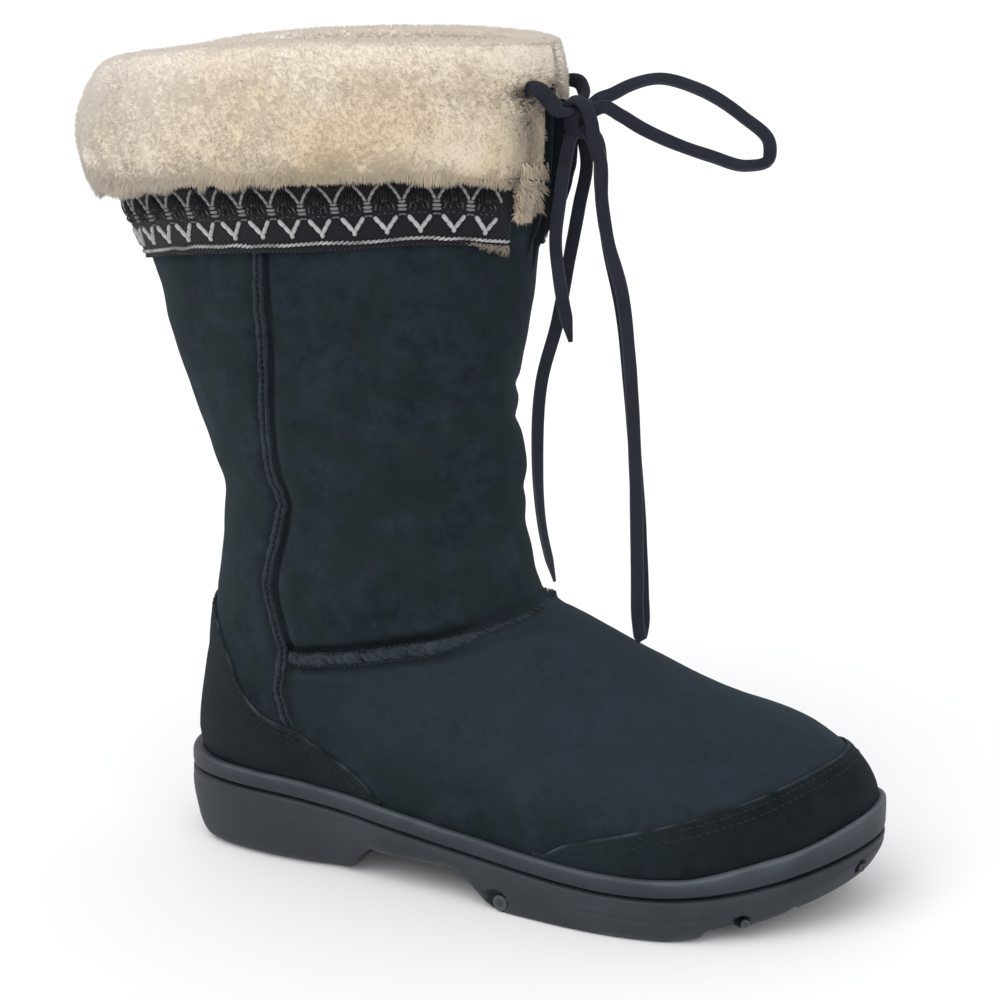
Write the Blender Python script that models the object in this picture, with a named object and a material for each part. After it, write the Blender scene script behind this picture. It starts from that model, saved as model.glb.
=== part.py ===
"""Sheepskin winter boot for the right foot, standing empty on its sole.

+X points to the toe, +Y to the wearer's left (the inner, medial side), +Z up.  The origin lies on the
ground under the middle of the boot.  Sizes in the tables are millimetres, measured from the back of
the sole; boot_space() moves them to the origin and turns them into metres.
"""
import math

import bmesh
import bpy
import numpy as np

# ------------------------------------------------------------------ driving sizes (millimetres)
SOLE_LENGTH = 285.0
BALL_WIDTH = 106.0
HEEL_WIDTH = 76.0
WAIST_WIDTH = 82.0
BALL_SHIFT = -2.5          # the tread lies outside the centre line, the toe inside it
WAIST_SHIFT = -5.5
TOE_SHIFT = 13.0
GAP = 0.3                  # running gap between fitted pieces
FACET_GAP = 0.55           # the same gap between faceted skins lying on the upper
SNAP_LEVEL = 0.003         # rings nearer than this to an overlay's edge become the edge
WALL = 8.5                 # suede and its deep fleece
RIM_BAND = 7.0             # height of the rim above the groove line
CUP_DEPTH = 4.0            # how far the upper stands down inside the rim
LEDGE = 4.2                # rim showing outside the upper
HEEL_BREAST = 82.0         # end of the flat heel block
FOREPART_START = 151.0     # start of the flat forepart
FOREPART_END = 217.0       # toe spring begins here
ARCH_RISE = 16.0
TOE_SPRING = 17.0
HEEL_STRIKE = 6.0
TREAD_DEPTH = 4.5
CHANNEL_HEIGHT = 20.0      # of the cutters, most of it below the tread
POCKET_RADIUS = 8.0
POCKET_DEPTH = 10.0
INSOLE_THICK = 5.0
OVERLAY_THICK = 1.5
COUNTER_SPAN = 71.0        # degrees of ring angle either side of the heel
CAP_SPAN = 81.0            # and either side of the toe
BAND_WIDTH = 24.0          # width of the woven band
BAND_TO_COLLAR = 66.0      # length of the shaft from the band's foot to the collar
SLIT_TOP_WIDTH = 13.0
SLIT_FOOT_WIDTH = 4.0
SLIT_FOOT_Z = 240.0
LACE_DIAMETER = 4.6
LACE_HOLE_DIAMETER = 7.6
AROUND = 48                # facets round a ring
CENTRE_X = 120.1           # ground point of the origin, from the back of the sole
CENTRE_Y = 0.0
MM = 0.001

# ------------------------------------------------------------------ tables, a row for each section
RIM_STATIONS = (0.0, 45.0, 80.0, 111.0, 150.0, 195.0, 225.0, 255.0, 285.0)
RIM_HEIGHTS = (37.0, 37.5, 35.0, 31.0, 27.0, 24.5, 25.5, 29.5, 37.0)

# Rings of the upper, from the feather line inside the rim up to the collar.  Widths are half widths.
RING_COLUMNS = (
    "z_back", "z_front", "x_back", "x_front", "heel_w", "waist_w", "ball_w",
    "waist_shift", "ball_shift", "tip_shift", "round_back", "round_front", "follow", "side_rise")
FOOT_FRONT = SOLE_LENGTH - LEDGE
HEEL_IN = HEEL_WIDTH / 2 - LEDGE
WAIST_IN = WAIST_WIDTH / 2 - LEDGE
BALL_IN = BALL_WIDTH / 2 - LEDGE
UPPER_RINGS = (
    # name     z_bk   z_fr   x_bk   x_fr   heel  waist ball  w_sh  b_sh  tip   r_bk r_fr follow rise
    ("feather", 33.3, 33.3, LEDGE, FOOT_FRONT, HEEL_IN, WAIST_IN, BALL_IN,
     WAIST_SHIFT, BALL_SHIFT, TOE_SHIFT, .17, .25, 1.0, 0.0),
    ("rim", 37.0, 37.0, LEDGE, FOOT_FRONT, HEEL_IN, WAIST_IN, BALL_IN,
     WAIST_SHIFT, BALL_SHIFT, TOE_SHIFT, .17, .25, 1.0, 0.0),
    ("welt",   44.0,  44.0,  2.8,   282.0, 35.6, 37.6, 50.0, -4.5, -2.5, 13.0, .17, .25, 0.9, 0.0),
    ("wall",   52.0,  52.0,  3.2,   280.0, 36.8, 38.0, 49.2, -4.5, -2.5, 13.0, .18, .26, 0.75, 0.0),
    ("toe_top", 59.0, 61.5,  4.2,   274.0, 37.2, 37.5, 46.0, -4.0, -2.0, 12.0, .19, .29, 0.55, 0.0),
    ("vamp_a", 66.0,  70.0,  5.4,   261.0, 37.2, 37.2, 42.0, -3.5, -1.5, 9.0,  .20, .35, 0.35, 0.0),
    ("vamp_b", 74.0,  79.0,  7.0,   234.0, 37.2, 37.5, 39.0, -3.0, -1.0, 6.0,  .22, .42, 0.2, 0.0),
    ("vamp_c", 83.0,  90.0,  9.0,   203.0, 37.5, 38.5, 37.0, -2.0, -1.0, 3.0,  .25, .48, 0.1, 0.0),
    ("vamp_d", 93.0,  100.5, 11.5,  176.0, 38.0, 40.0, 37.0, -1.0, -0.5, 1.0,  .30, .50, 0.0, 0.0),
    ("instep", 106.0, 111.5, 15.0,  151.5, 39.0, 42.0, 40.0, 0.0,  0.0,  0.0,  .36, .50, 0.0, 0.0),
    ("ankle",  132.0, 131.0, 18.5,  143.5, 43.0, 44.5, 43.0, 0.0,  0.0,  0.0,  .45, .50, 0.0, 0.0),
    ("calf_a", 162.0, 162.0, 14.5,  142.0, 45.0, 46.0, 45.0, 0.0,  0.0,  0.0,  .48, .50, 0.0, 0.0),
    ("calf_b", 190.0, 188.0, 3.5,   138.8, 46.5, 47.5, 46.5, 0.0,  0.0,  0.0,  .50, .50, 0.0, 1.0),
    ("calf_c", 216.0, 218.0, -5.0,  143.0, 47.5, 48.5, 47.5, 0.0,  0.0,  0.0,  .50, .50, 0.0, 3.0),
    ("band",   241.0, 250.0, -13.5, 146.8, 49.5, 50.5, 49.5, 0.0,  0.0,  0.0,  .50, .50, 0.0, 8.5),
    ("flare",  260.0, 268.0, -22.0, 149.5, 53.0, 54.0, 53.0, 0.0,  0.0,  0.0,  .50, .50, 0.0, 8.5),
    ("collar", 308.0, 318.5, -26.0, 151.0, 55.0, 56.0, 55.0, 0.0,  0.0,  0.0,  .50, .50, 0.0, 5.0),
)
WIDTH_STATIONS = (0.0, 0.15, 0.45, 0.72, 1.0)
TOE_TAPER = 0.93


# ------------------------------------------------------------------ smooth interpolation
def blend_weights(knots, at):
    """Weights of a Catmull-Rom curve through knots, one row for each place in at."""
    knots = np.asarray(knots, float)
    at = np.clip(np.atleast_1d(np.asarray(at, float)), knots[0], knots[-1])
    identity = np.eye(len(knots))
    slopes = np.gradient(identity, knots, axis=0)
    cell = np.clip(np.searchsorted(knots, at, side="right") - 1, 0, len(knots) - 2)
    span = knots[cell + 1] - knots[cell]
    s = ((at - knots[cell]) / span)[:, None]
    h00 = 2 * s ** 3 - 3 * s ** 2 + 1
    h10 = s ** 3 - 2 * s ** 2 + s
    h01 = -2 * s ** 3 + 3 * s ** 2
    h11 = s ** 3 - s ** 2
    return (h00 * identity[cell] + h10 * span[:, None] * slopes[cell]
            + h01 * identity[cell + 1] + h11 * span[:, None] * slopes[cell + 1])


def smooth_step(low, high, value):
    s = np.clip((np.asarray(value, float) - low) / (high - low), 0.0, 1.0)
    return s * s * (3 - 2 * s)


def rim_height(x):
    """Top edge of the rubber rim above the ground at x."""
    shape = np.shape(x)
    return (blend_weights(RIM_STATIONS, np.ravel(x)) @ np.asarray(RIM_HEIGHTS)).reshape(shape)


def groove_height(x):
    return rim_height(x) - RIM_BAND


def floor_height(x):
    return rim_height(x) - CUP_DEPTH


def tread_height(x):
    """Underside of the sole: flat heel, arch, flat forepart, then the toe spring."""
    strike = HEEL_STRIKE * (1 - smooth_step(0.0, 14.0, x))
    arch = ARCH_RISE * (smooth_step(HEEL_BREAST, HEEL_BREAST + 15, x)
                        - smooth_step(FOREPART_START - 22, FOREPART_START, x))
    past = np.clip((np.asarray(x, float) - FOREPART_END) / (SOLE_LENGTH - FOREPART_END), 0.0, 1.0)
    return strike + arch + TOE_SPRING * past ** 1.4


# ------------------------------------------------------------------ rings
def end_round(t, back, front):
    """1 along the middle of a ring, rounded to 0 over the back and front fractions of its length."""
    near_back = np.clip(t / back, 0.0, 1.0)
    near_front = np.clip((1 - t) / front, 0.0, 1.0)
    return np.sqrt(1 - (1 - near_back) ** 2) * np.sqrt(1 - (1 - near_front) ** 2)


def ring_xy(column, theta):
    """Plan of rings: theta 0 is the back, pi the front, 0 to pi the lateral side, pi to 2 pi medial."""
    t = (1 - np.cos(theta)) / 2
    side = np.where(np.mod(theta, 2 * math.pi) <= math.pi, -1.0, 1.0)
    weights = blend_weights(WIDTH_STATIONS, np.ravel(t)).reshape(t.shape + (5,))
    widths = np.stack([column["heel_w"], column["heel_w"], column["waist_w"], column["ball_w"],
                       column["ball_w"] * TOE_TAPER], -1)
    shifts = np.stack([0 * column["heel_w"], 0 * column["heel_w"], column["waist_shift"],
                       column["ball_shift"], column["tip_shift"]], -1)
    half_width = (weights * widths).sum(-1)
    shift = (weights * shifts).sum(-1)
    x = column["x_back"] + (column["x_front"] - column["x_back"]) * t
    y = shift + side * half_width * end_round(t, column["round_back"], column["round_front"])
    return x, y, t


def sole_ring(theta, inset, toe_inset=0.0):
    """Outline of the rubber, moved inwards by inset, and further by toe_inset at the toe."""
    column = dict(
        x_back=np.full_like(theta, inset),
        x_front=np.full_like(theta, SOLE_LENGTH - inset - toe_inset),
        heel_w=np.full_like(theta, HEEL_WIDTH / 2 - inset),
        waist_w=np.full_like(theta, WAIST_WIDTH / 2 - inset),
        ball_w=np.full_like(theta, BALL_WIDTH / 2 - inset),
        waist_shift=np.full_like(theta, WAIST_SHIFT), ball_shift=np.full_like(theta, BALL_SHIFT),
        tip_shift=np.full_like(theta, TOE_SHIFT),
        round_back=np.full_like(theta, 0.17), round_front=np.full_like(theta, 0.25))
    x, y, _ = ring_xy(column, theta)
    return x, y


RING_TABLE = np.array([row[1:] for row in UPPER_RINGS])


def ring_levels():
    """Level of each ring: how far it lies along the back and front outlines, 0 to 1."""
    front = np.hypot(np.diff(RING_TABLE[:, 3]), np.diff(RING_TABLE[:, 1]))
    back = np.hypot(np.diff(RING_TABLE[:, 2]), np.diff(RING_TABLE[:, 0]))
    steps = np.concatenate([[0.0], np.cumsum(front + back)])
    return steps / steps[-1]


LEVELS = ring_levels()


def level_of(name):
    return LEVELS[[row[0] for row in UPPER_RINGS].index(name)]


def upper_surface(theta, level):
    """Outer face of the upper at ring angle theta and level, for arrays of one shape."""
    theta = np.asarray(theta, float)
    level = np.asarray(level, float)
    weights = blend_weights(LEVELS, np.ravel(level))
    rows = (weights @ RING_TABLE).reshape(level.shape + (len(RING_COLUMNS),))
    column = {name: rows[..., i] for i, name in enumerate(RING_COLUMNS)}
    x, y, t = ring_xy(column, theta)
    sag = rim_height(x) - (RIM_HEIGHTS[0] + (RIM_HEIGHTS[-1] - RIM_HEIGHTS[0]) * t)
    z = column["z_back"] + (column["z_front"] - column["z_back"]) * t
    z = z + column["follow"] * sag + column["side_rise"] * np.sin(theta) ** 2
    return np.stack([x, y, z], -1)


def upper_normal(theta, level):
    """Unit normal of the outer face, pointing out of the boot."""
    d_theta, d_level = 0.01, 0.004
    low = np.clip(level - d_level, 0, 1)
    high = np.clip(level + d_level, 0, 1)
    along = upper_surface(theta + d_theta, level) - upper_surface(theta - d_theta, level)
    up = upper_surface(theta, high) - upper_surface(theta, low)
    normal = np.cross(along, up)
    return normal / np.linalg.norm(normal, axis=-1, keepdims=True)


def upper_form(theta, level, offset):
    """The upper's own form, grown outwards by offset (inwards where it is negative)."""
    theta, level = np.broadcast_arrays(np.asarray(theta, float), np.asarray(level, float))
    return upper_surface(theta, level) + upper_normal(theta, level) * np.asarray(offset)[..., None]


# ------------------------------------------------------------------ building meshes
def boot_space(points):
    """Table millimetres to metres about the origin on the ground."""
    moved = np.asarray(points, float).reshape(-1, 3) - (CENTRE_X, CENTRE_Y, 0.0)
    return moved * MM


def material(name, colour, roughness, metallic=0.0):
    mat = bpy.data.materials.new(name)
    mat.use_nodes = True
    shader = mat.node_tree.nodes["Principled BSDF"]
    shader.inputs["Base Color"].default_value = (*colour, 1.0)
    shader.inputs["Roughness"].default_value = roughness
    shader.inputs["Metallic"].default_value = metallic
    return mat


def add_object(name, points, faces, mat, target):
    """A closed mesh in metres from points in table millimetres, with its faces turned outwards."""
    mesh = bpy.data.meshes.new(name)
    mesh.from_pydata(boot_space(points).tolist(), [], [tuple(int(i) for i in face) for face in faces])
    body = bmesh.new()
    body.from_mesh(mesh)
    bmesh.ops.remove_doubles(body, verts=body.verts, dist=0.00001)
    bmesh.ops.recalc_face_normals(body, faces=body.faces)
    body.to_mesh(mesh)
    body.free()
    mesh.shade_smooth()
    mesh.set_sharp_from_angle(angle=math.radians(40))
    if mat:
        mesh.materials.append(mat)
    body_object = bpy.data.objects.new(name, mesh)
    target.objects.link(body_object)
    return body_object


def grid_faces(rows, columns, wrap_rows=False, wrap_columns=False):
    """Quads of a grid of points stored row by row."""
    faces = []
    for i in range(rows if wrap_rows else rows - 1):
        for j in range(columns if wrap_columns else columns - 1):
            k = (i + 1) % rows
            m = (j + 1) % columns
            faces.append((i * columns + j, i * columns + m, k * columns + m, k * columns + j))
    return faces


def ladder_faces(start, count, flip=False):
    """Fill one closed ring of count points with strips from its lateral to its medial side."""
    faces = []
    for i in range(count // 2):
        a = start + i
        b = start + i + 1
        c = start + (count - i - 1) % count
        d = start + (count - i) % count
        face = (a, b, c) if a == d else (a, b, d) if b == c else (a, b, c, d)
        faces.append(face[::-1] if flip else face)
    return faces


def stacked_rings(rings, closed=True):
    """Faces of a solid from rings of one count, bottom to top, with ladder-filled ends."""
    count = len(rings[0])
    faces = grid_faces(len(rings), count, wrap_columns=True)
    if closed:
        faces += ladder_faces(0, count, flip=True)
        faces += ladder_faces((len(rings) - 1) * count, count)
    return np.concatenate(rings), faces


def apply_boolean(body, cutter, operation="DIFFERENCE"):
    """Cut or join body with cutter for good, with the exact solver."""
    modifier = body.modifiers.new(cutter.name, "BOOLEAN")
    modifier.object = cutter
    modifier.operation = operation
    modifier.solver = "EXACT"
    depsgraph = bpy.context.evaluated_depsgraph_get()
    shaped = bpy.data.meshes.new_from_object(body.evaluated_get(depsgraph))
    body.modifiers.remove(modifier)
    old = body.data
    body.data = shaped
    bpy.data.meshes.remove(old)


def hide_cutter(cutter, cutters):
    for holder in list(cutter.users_collection):
        holder.objects.unlink(cutter)
    cutters.objects.link(cutter)
    cutter.hide_render = True
    cutter.display_type = "WIRE"


def ring_angles(count=AROUND):
    return np.arange(count) * 2 * math.pi / count


# ------------------------------------------------------------------ rubber
def rubber_ring(theta, inset, height_above, base, toe_inset=0.0):
    """Outline of the rubber at a height above base(x)."""
    x, y = sole_ring(theta, inset, toe_inset)
    return np.stack([x, y, base(x) + height_above], -1)


def build_outsole(target, cutters):
    """Heel block, arch and forepart up to the groove line, with lugs cut into the tread."""
    theta = ring_angles()
    wall_share = 0.55
    x_mid, y_mid = sole_ring(theta, -0.8)
    mid = tread_height(x_mid) * (1 - wall_share) + groove_height(x_mid) * wall_share
    rings = [
        rubber_ring(theta, 3.2, 0.0, tread_height, 5.0),
        rubber_ring(theta, 1.2, 1.2, tread_height, 4.0),
        rubber_ring(theta, 0.0, 4.0, tread_height, 2.5),
        np.stack([x_mid, y_mid, mid], -1),
        rubber_ring(theta, 0.2, -1.2, groove_height),
        rubber_ring(theta, 2.2, -GAP, groove_height),
    ]
    points, faces = stacked_rings(rings)
    rubber = material("outsole_rubber", (0.045, 0.052, 0.062), 0.62)
    outsole = add_object("outsole", points, faces, rubber, target)
    for cutter in tread_cutters(cutters):
        apply_boolean(outsole, cutter)
    return outsole


def add_box(name, centre, size, turn=0.0):
    """A box cutter, centre and size in table millimetres."""
    bpy.ops.mesh.primitive_cube_add(size=1.0)
    box = bpy.context.object
    box.name = name
    box.scale = [s * MM for s in size]
    box.location = boot_space([centre])[0]
    box.rotation_euler = (0.0, 0.0, turn)
    return box


def tread_cutters(cutters):
    """Channels between the main lugs and the round pockets in the side wall."""
    made = []
    channels = (
        # x centre, width along the boot, length across it, turn in degrees
        (28.0, 4.5, 44.0, 0.0), (54.0, 4.5, 50.0, 0.0), (170.0, 5.0, 74.0, 8.0),
        (195.0, 5.0, 78.0, 6.0), (234.0, 12.0, 130.0, 3.0), (258.0, 5.0, 54.0, 0.0))
    for index, (x, width, length, turn) in enumerate(channels):
        top = float(tread_height(x)) + TREAD_DEPTH
        box = add_box(f"channel_{index + 1}", (x, 0.0, top - CHANNEL_HEIGHT / 2),
                      (width, length, CHANNEL_HEIGHT), math.radians(turn))
        made.append(box)
    pockets = ((146.0, -52.0), (246.0, -45.0), (146.0, 41.0), (246.0, 54.0))
    for index, (x, y) in enumerate(pockets):
        bpy.ops.mesh.primitive_cylinder_add(
            vertices=16, radius=POCKET_RADIUS * MM, depth=POCKET_DEPTH * MM)
        pocket = bpy.context.object
        pocket.name = f"pocket_{index + 1}"
        pocket.rotation_euler = (math.radians(90), 0.0, 0.0)
        pocket.location = boot_space([(x, y, float(tread_height(x)))])[0]
        made.append(pocket)
    for cutter in made:
        hide_cutter(cutter, cutters)
    return made


def build_midsole(target):
    """The rim band: a rounded wall that cups the upper, and the floor under it."""
    theta = ring_angles()
    outer = [
        rubber_ring(theta, 2.2, 0.0, groove_height),
        rubber_ring(theta, 0.3, 1.2, groove_height),
        rubber_ring(theta, 0.0, RIM_BAND - 1.8, groove_height),
        rubber_ring(theta, 0.9, RIM_BAND - 0.4, groove_height),
        rubber_ring(theta, 1.8, RIM_BAND, groove_height),
        rubber_ring(theta, LEDGE - GAP, RIM_BAND - 0.6, groove_height),
        rubber_ring(theta, LEDGE - GAP, RIM_BAND - CUP_DEPTH, groove_height),
    ]
    points, faces = stacked_rings(outer)
    rubber = material("midsole_rubber", (0.065, 0.072, 0.082), 0.5)
    return add_object("midsole", points, faces, rubber, target)


def build_insole(target):
    """Footbed lying on the floor inside the fleece."""
    theta = ring_angles()
    level = np.full_like(theta, 0.0)
    inner = upper_form(theta, level, -(WALL + GAP))
    bottom = inner.copy()
    bottom[:, 2] = floor_height(bottom[:, 0]) + GAP
    top = bottom.copy()
    top[:, 2] += INSOLE_THICK
    points, faces = stacked_rings([bottom, top])
    fleece = material("insole_fleece", (0.62, 0.53, 0.40), 0.95)
    return add_object("insole", points, faces, fleece, target)


# ------------------------------------------------------------------ upper
def upper_levels():
    """Levels of the mesh rings: each table ring and one between, closer over the toe."""
    levels = []
    for low, high in zip(LEVELS[:-1], LEVELS[1:]):
        parts = max(1, round((high - low) / 0.05))
        levels += list(low + (high - low) * np.arange(parts) / parts)
    return np.array(levels + [1.0])


def build_upper(target, cutters):
    """Foot and shaft as one wall: outer form, collar edge, inner form, feather edge."""
    theta = ring_angles()
    levels = upper_levels()
    grid_theta, grid_level = np.meshgrid(theta, levels)
    outer = upper_form(grid_theta, grid_level, 0.0 * grid_theta)
    inner = upper_form(grid_theta, grid_level, -WALL + 0.0 * grid_theta)
    inner[0, :, 2] = floor_height(inner[0, :, 0]) + GAP
    outer[0, :, 2] = floor_height(outer[0, :, 0]) + GAP
    inner[-1, :, 2] = outer[-1, :, 2]
    points = np.concatenate([outer.reshape(-1, 3), inner[::-1].reshape(-1, 3)])
    faces = grid_faces(2 * len(levels), AROUND, wrap_rows=True, wrap_columns=True)
    suede = material("upper_suede", (0.018, 0.022, 0.030), 0.92)
    upper = add_object("upper", points, faces, suede, target)
    for cutter in slit_and_hole_cutters(cutters):
        apply_boolean(upper, cutter)
    return upper


def slit_half_width(z):
    top = UPPER_RINGS[-1][2]
    share = np.clip((z - SLIT_FOOT_Z) / (top - SLIT_FOOT_Z), 0.0, 1.0)
    return (SLIT_FOOT_WIDTH + (SLIT_TOP_WIDTH - SLIT_FOOT_WIDTH) * share) / 2


WEDGE_TOP_Z = 345.0             # of the cutter that opens the slit
WEDGE_X = (118.0, 185.0)
LACE_HOLES = (-20.0, 20.0)      # y of the holes either side of the slit
LACE_HOLE_Z = 306.0
HOLE_CUTTER_X = 150.0
HOLE_CUTTER_LENGTH = 80.0


def slit_and_hole_cutters(cutters):
    """A wedge that opens the collar at the front, and the two lace holes beside it."""
    narrow = float(slit_half_width(SLIT_FOOT_Z))
    wide = float(slit_half_width(WEDGE_TOP_Z))
    corners = [(x, side * half, z) for z, half in ((SLIT_FOOT_Z, narrow), (WEDGE_TOP_Z, wide))
               for x in WEDGE_X for side in (-1, 1)]
    faces = [(0, 1, 3, 2), (4, 6, 7, 5), (0, 4, 5, 1), (1, 5, 7, 3), (3, 7, 6, 2), (2, 6, 4, 0)]
    wedge = add_object("slit_wedge", corners, faces, None, cutters)
    made = [wedge]
    for index, y in enumerate(LACE_HOLES):
        bpy.ops.mesh.primitive_cylinder_add(
            vertices=12, radius=LACE_HOLE_DIAMETER / 2 * MM, depth=HOLE_CUTTER_LENGTH * MM)
        hole = bpy.context.object
        hole.name = f"lace_hole_{index + 1}"
        hole.rotation_euler = (0.0, math.radians(90), 0.0)
        hole.location = boot_space([(HOLE_CUTTER_X, y, LACE_HOLE_Z)])[0]
        made.append(hole)
    for cutter in made:
        hide_cutter(cutter, cutters)
    return made


# ------------------------------------------------------------------ overlays
def edge_level(theta, z_edge):
    """Level at which the outer face crosses the height z_edge(x), found by halving."""
    low = np.full_like(theta, level_of("rim"))
    high = np.full_like(theta, level_of("ankle"))
    for _ in range(24):
        mid = (low + high) / 2
        point = upper_surface(theta, mid)
        below = point[..., 2] < z_edge(point[..., 0])
        low = np.where(below, mid, low)
        high = np.where(below, high, mid)
    return (low + high) / 2


def facet_angles(start, end):
    """The upper's own ring angles between start and end, with both ends added."""
    step = 2 * math.pi / AROUND
    first = math.ceil(start / step + 0.2)
    last = math.floor(end / step - 0.2)
    return np.concatenate([[start], np.arange(first, last + 1) * step, [end]])


def overlay(name, theta, lower, upper_edge, mat, target):
    """A skin between two larger forms of the upper.

    Its rows are the upper's own rings, held between the levels lower and upper_edge, so the facets of
    the skin lie parallel to those of the upper.
    """
    rings = upper_levels()
    inside = rings[(rings > lower.min()) & (rings < upper_edge.max())]
    rows = np.concatenate([[0.0], inside, [1.0]])[:, None]
    level = np.where(rows < lower + SNAP_LEVEL, lower, rows)
    level = np.where(level > upper_edge - SNAP_LEVEL, upper_edge, level)
    grid_theta = np.broadcast_to(theta[None, :], level.shape)
    near = upper_form(grid_theta, level, np.full_like(level, FACET_GAP))
    far = upper_form(grid_theta, level, np.full_like(level, FACET_GAP + OVERLAY_THICK))
    for skin in (near, far):
        skin[..., 2] = np.maximum(skin[..., 2], rim_height(skin[..., 0]) + FACET_GAP)
    points = np.concatenate([far.reshape(-1, 3), near.reshape(-1, 3)])
    return add_object(name, points, slab_faces(*level.shape), mat, target)


def slab_faces(rows, columns):
    """Faces of a thick patch: far grid, near grid and the four edges between them."""
    size = rows * columns
    far = grid_faces(rows, columns)
    near = [tuple(i + size for i in face[::-1]) for face in far]
    loop = ([j for j in range(columns)]
            + [i * columns + columns - 1 for i in range(1, rows)]
            + [(rows - 1) * columns + j for j in range(columns - 2, -1, -1)]
            + [i * columns for i in range(rows - 2, 0, -1)])
    edge = [(a, a + size, b + size, b) for a, b in zip(loop, loop[1:] + loop[:1])]
    return far + near + edge


COUNTER_STATIONS = (0.0, 10.0, 19.0, 26.0, 34.0, 46.0, 57.0, 66.0, 78.0, 91.0, 100.0)
COUNTER_HEIGHTS = (107.0, 104.0, 89.0, 80.5, 70.0, 60.5, 57.0, 53.5, 45.0, 36.5, 30.0)
CAP_STATIONS = (155.0, 164.0, 173.0, 197.0, 229.0, 248.0, 265.0, 274.0, 285.0)
CAP_HEIGHTS = (20.0, 25.5, 31.0, 38.0, 47.5, 54.0, 61.0, 65.5, 70.0)


THIN_EDGE = 0.006           # least level step left where an overlay runs out against the rim


def edge_curve(stations, heights):
    def height(x):
        return (blend_weights(stations, np.ravel(x)) @ np.asarray(heights)).reshape(np.shape(x))
    return height


def rim_level(theta):
    """Level just above the rim's top edge."""
    return edge_level(theta, lambda x: rim_height(x) + FACET_GAP)


def build_heel_counter(target):
    half_span = math.radians(COUNTER_SPAN)
    theta = facet_angles(-half_span, half_span)
    top = edge_level(theta, edge_curve(COUNTER_STATIONS, COUNTER_HEIGHTS))
    low = rim_level(theta)
    top = np.maximum(top, low + THIN_EDGE)
    suede = material("counter_suede", (0.013, 0.015, 0.020), 0.88)
    return overlay("heel_counter", theta, low, top, suede, target)


def build_toe_cap(target):
    half_span = math.radians(CAP_SPAN)
    theta = facet_angles(math.pi - half_span, math.pi + half_span)
    top = edge_level(theta, edge_curve(CAP_STATIONS, CAP_HEIGHTS))
    low = rim_level(theta)
    top = np.maximum(top, low + THIN_EDGE)
    suede = material("toe_cap_suede", (0.011, 0.012, 0.016), 0.85)
    return overlay("toe_cap", theta, low, top, suede, target)


# ------------------------------------------------------------------ cuff and band
def collar_angles(z):
    """Ring angles from the lateral edge of the slit round the back to the medial edge."""
    half = float(slit_half_width(z)) + GAP
    half_width = RING_TABLE[-1][RING_COLUMNS.index("ball_w")] * TOE_TAPER
    gap_angle = math.asin(half / half_width)
    return facet_angles(math.pi + gap_angle, 3 * math.pi - gap_angle)


def build_braid_band(target):
    """Woven band round the shaft under the cuff, open at the slit."""
    theta = collar_angles(BAND_MIDDLE_Z)
    low = np.full_like(theta, level_of("band"))
    top = low + (1 - low) * BAND_WIDTH / BAND_TO_COLLAR
    braid = material("braid_weave", (0.02, 0.02, 0.024), 0.85)
    return overlay("braid_band", theta, low, top, braid, target)


BAND_MIDDLE_Z = 262.0
CUFF_MIDDLE_Z = 300.0
CUFF_ABOVE_BAND = 1.2       # between the band's top edge and the cuff's root
CUFF_PROFILE = (
    # place from the cuff's root (0) to the collar (1), stand-off from the upper's outer face, lift
    (0.00, 0.5, 0.0), (0.00, 3.2, 0.0), (0.00, 5.0, -3.5), (0.00, 10.0, -4.5),
    (0.05, 15.5, -3.0), (0.20, 18.8, 0.0), (0.42, 20.0, 0.0), (0.62, 19.2, 0.0),
    (0.82, 15.5, 0.0), (0.96, 10.0, 2.0), (1.00, 3.5, 6.8), (1.00, -3.0, 8.2),
    (1.00, -8.0, 6.5), (1.00, -9.4, 3.5), (1.00, -8.5, 0.5), (1.00, 0.5, 0.5),
    (0.75, 0.5, 0.0), (0.50, 0.5, 0.0), (0.25, 0.5, 0.0))
CUFF_CORE = 3.2             # stand-off that stays the same all round
CUFF_EDGE_SHARE = 0.28      # the fleece thins to this share of its depth beside the slit
CUFF_THINNING = 0.9         # ring angle over which it thins
NORMAL_FLATTEN = 0.25       # the roll stands out nearly level


def build_fur_cuff(target, cutters):
    """Turned-down fleece: a thick roll round the collar, over its edge and open at the slit."""
    theta = collar_angles(CUFF_MIDDLE_Z)
    band = level_of("band")
    base_level = band + (1 - band) * (BAND_WIDTH + CUFF_ABOVE_BAND) / BAND_TO_COLLAR
    from_slit = np.minimum(theta - theta[0], theta[-1] - theta)
    depth_share = CUFF_EDGE_SHARE + (1 - CUFF_EDGE_SHARE) * smooth_step(0.0, CUFF_THINNING, from_slit)
    rows = []
    for share, stand_off, lift in CUFF_PROFILE:
        level = np.full_like(theta, base_level + (1 - base_level) * share)
        reach = min(stand_off, CUFF_CORE) + max(stand_off - CUFF_CORE, 0.0) * depth_share
        point = upper_surface(theta, level)
        normal = upper_normal(theta, level)
        normal[:, 2] *= NORMAL_FLATTEN
        normal /= np.linalg.norm(normal, axis=1, keepdims=True)
        point = point + normal * reach[:, None]
        point[:, 2] += lift
        rows.append(point)
    grid = np.stack(rows, 1)
    around, count = grid.shape[:2]
    faces = grid_faces(around, count, wrap_columns=True)
    faces.append(tuple(range(count))[::-1])
    faces.append(tuple((around - 1) * count + i for i in range(count)))
    fleece = material("cuff_fleece", (0.70, 0.60, 0.45), 0.97)
    cuff = add_object("fur_cuff", grid.reshape(-1, 3), faces, fleece, target)
    for name in ("lace_hole_1", "lace_hole_2"):
        apply_boolean(cuff, cutters.objects[name])
    return cuff


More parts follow.
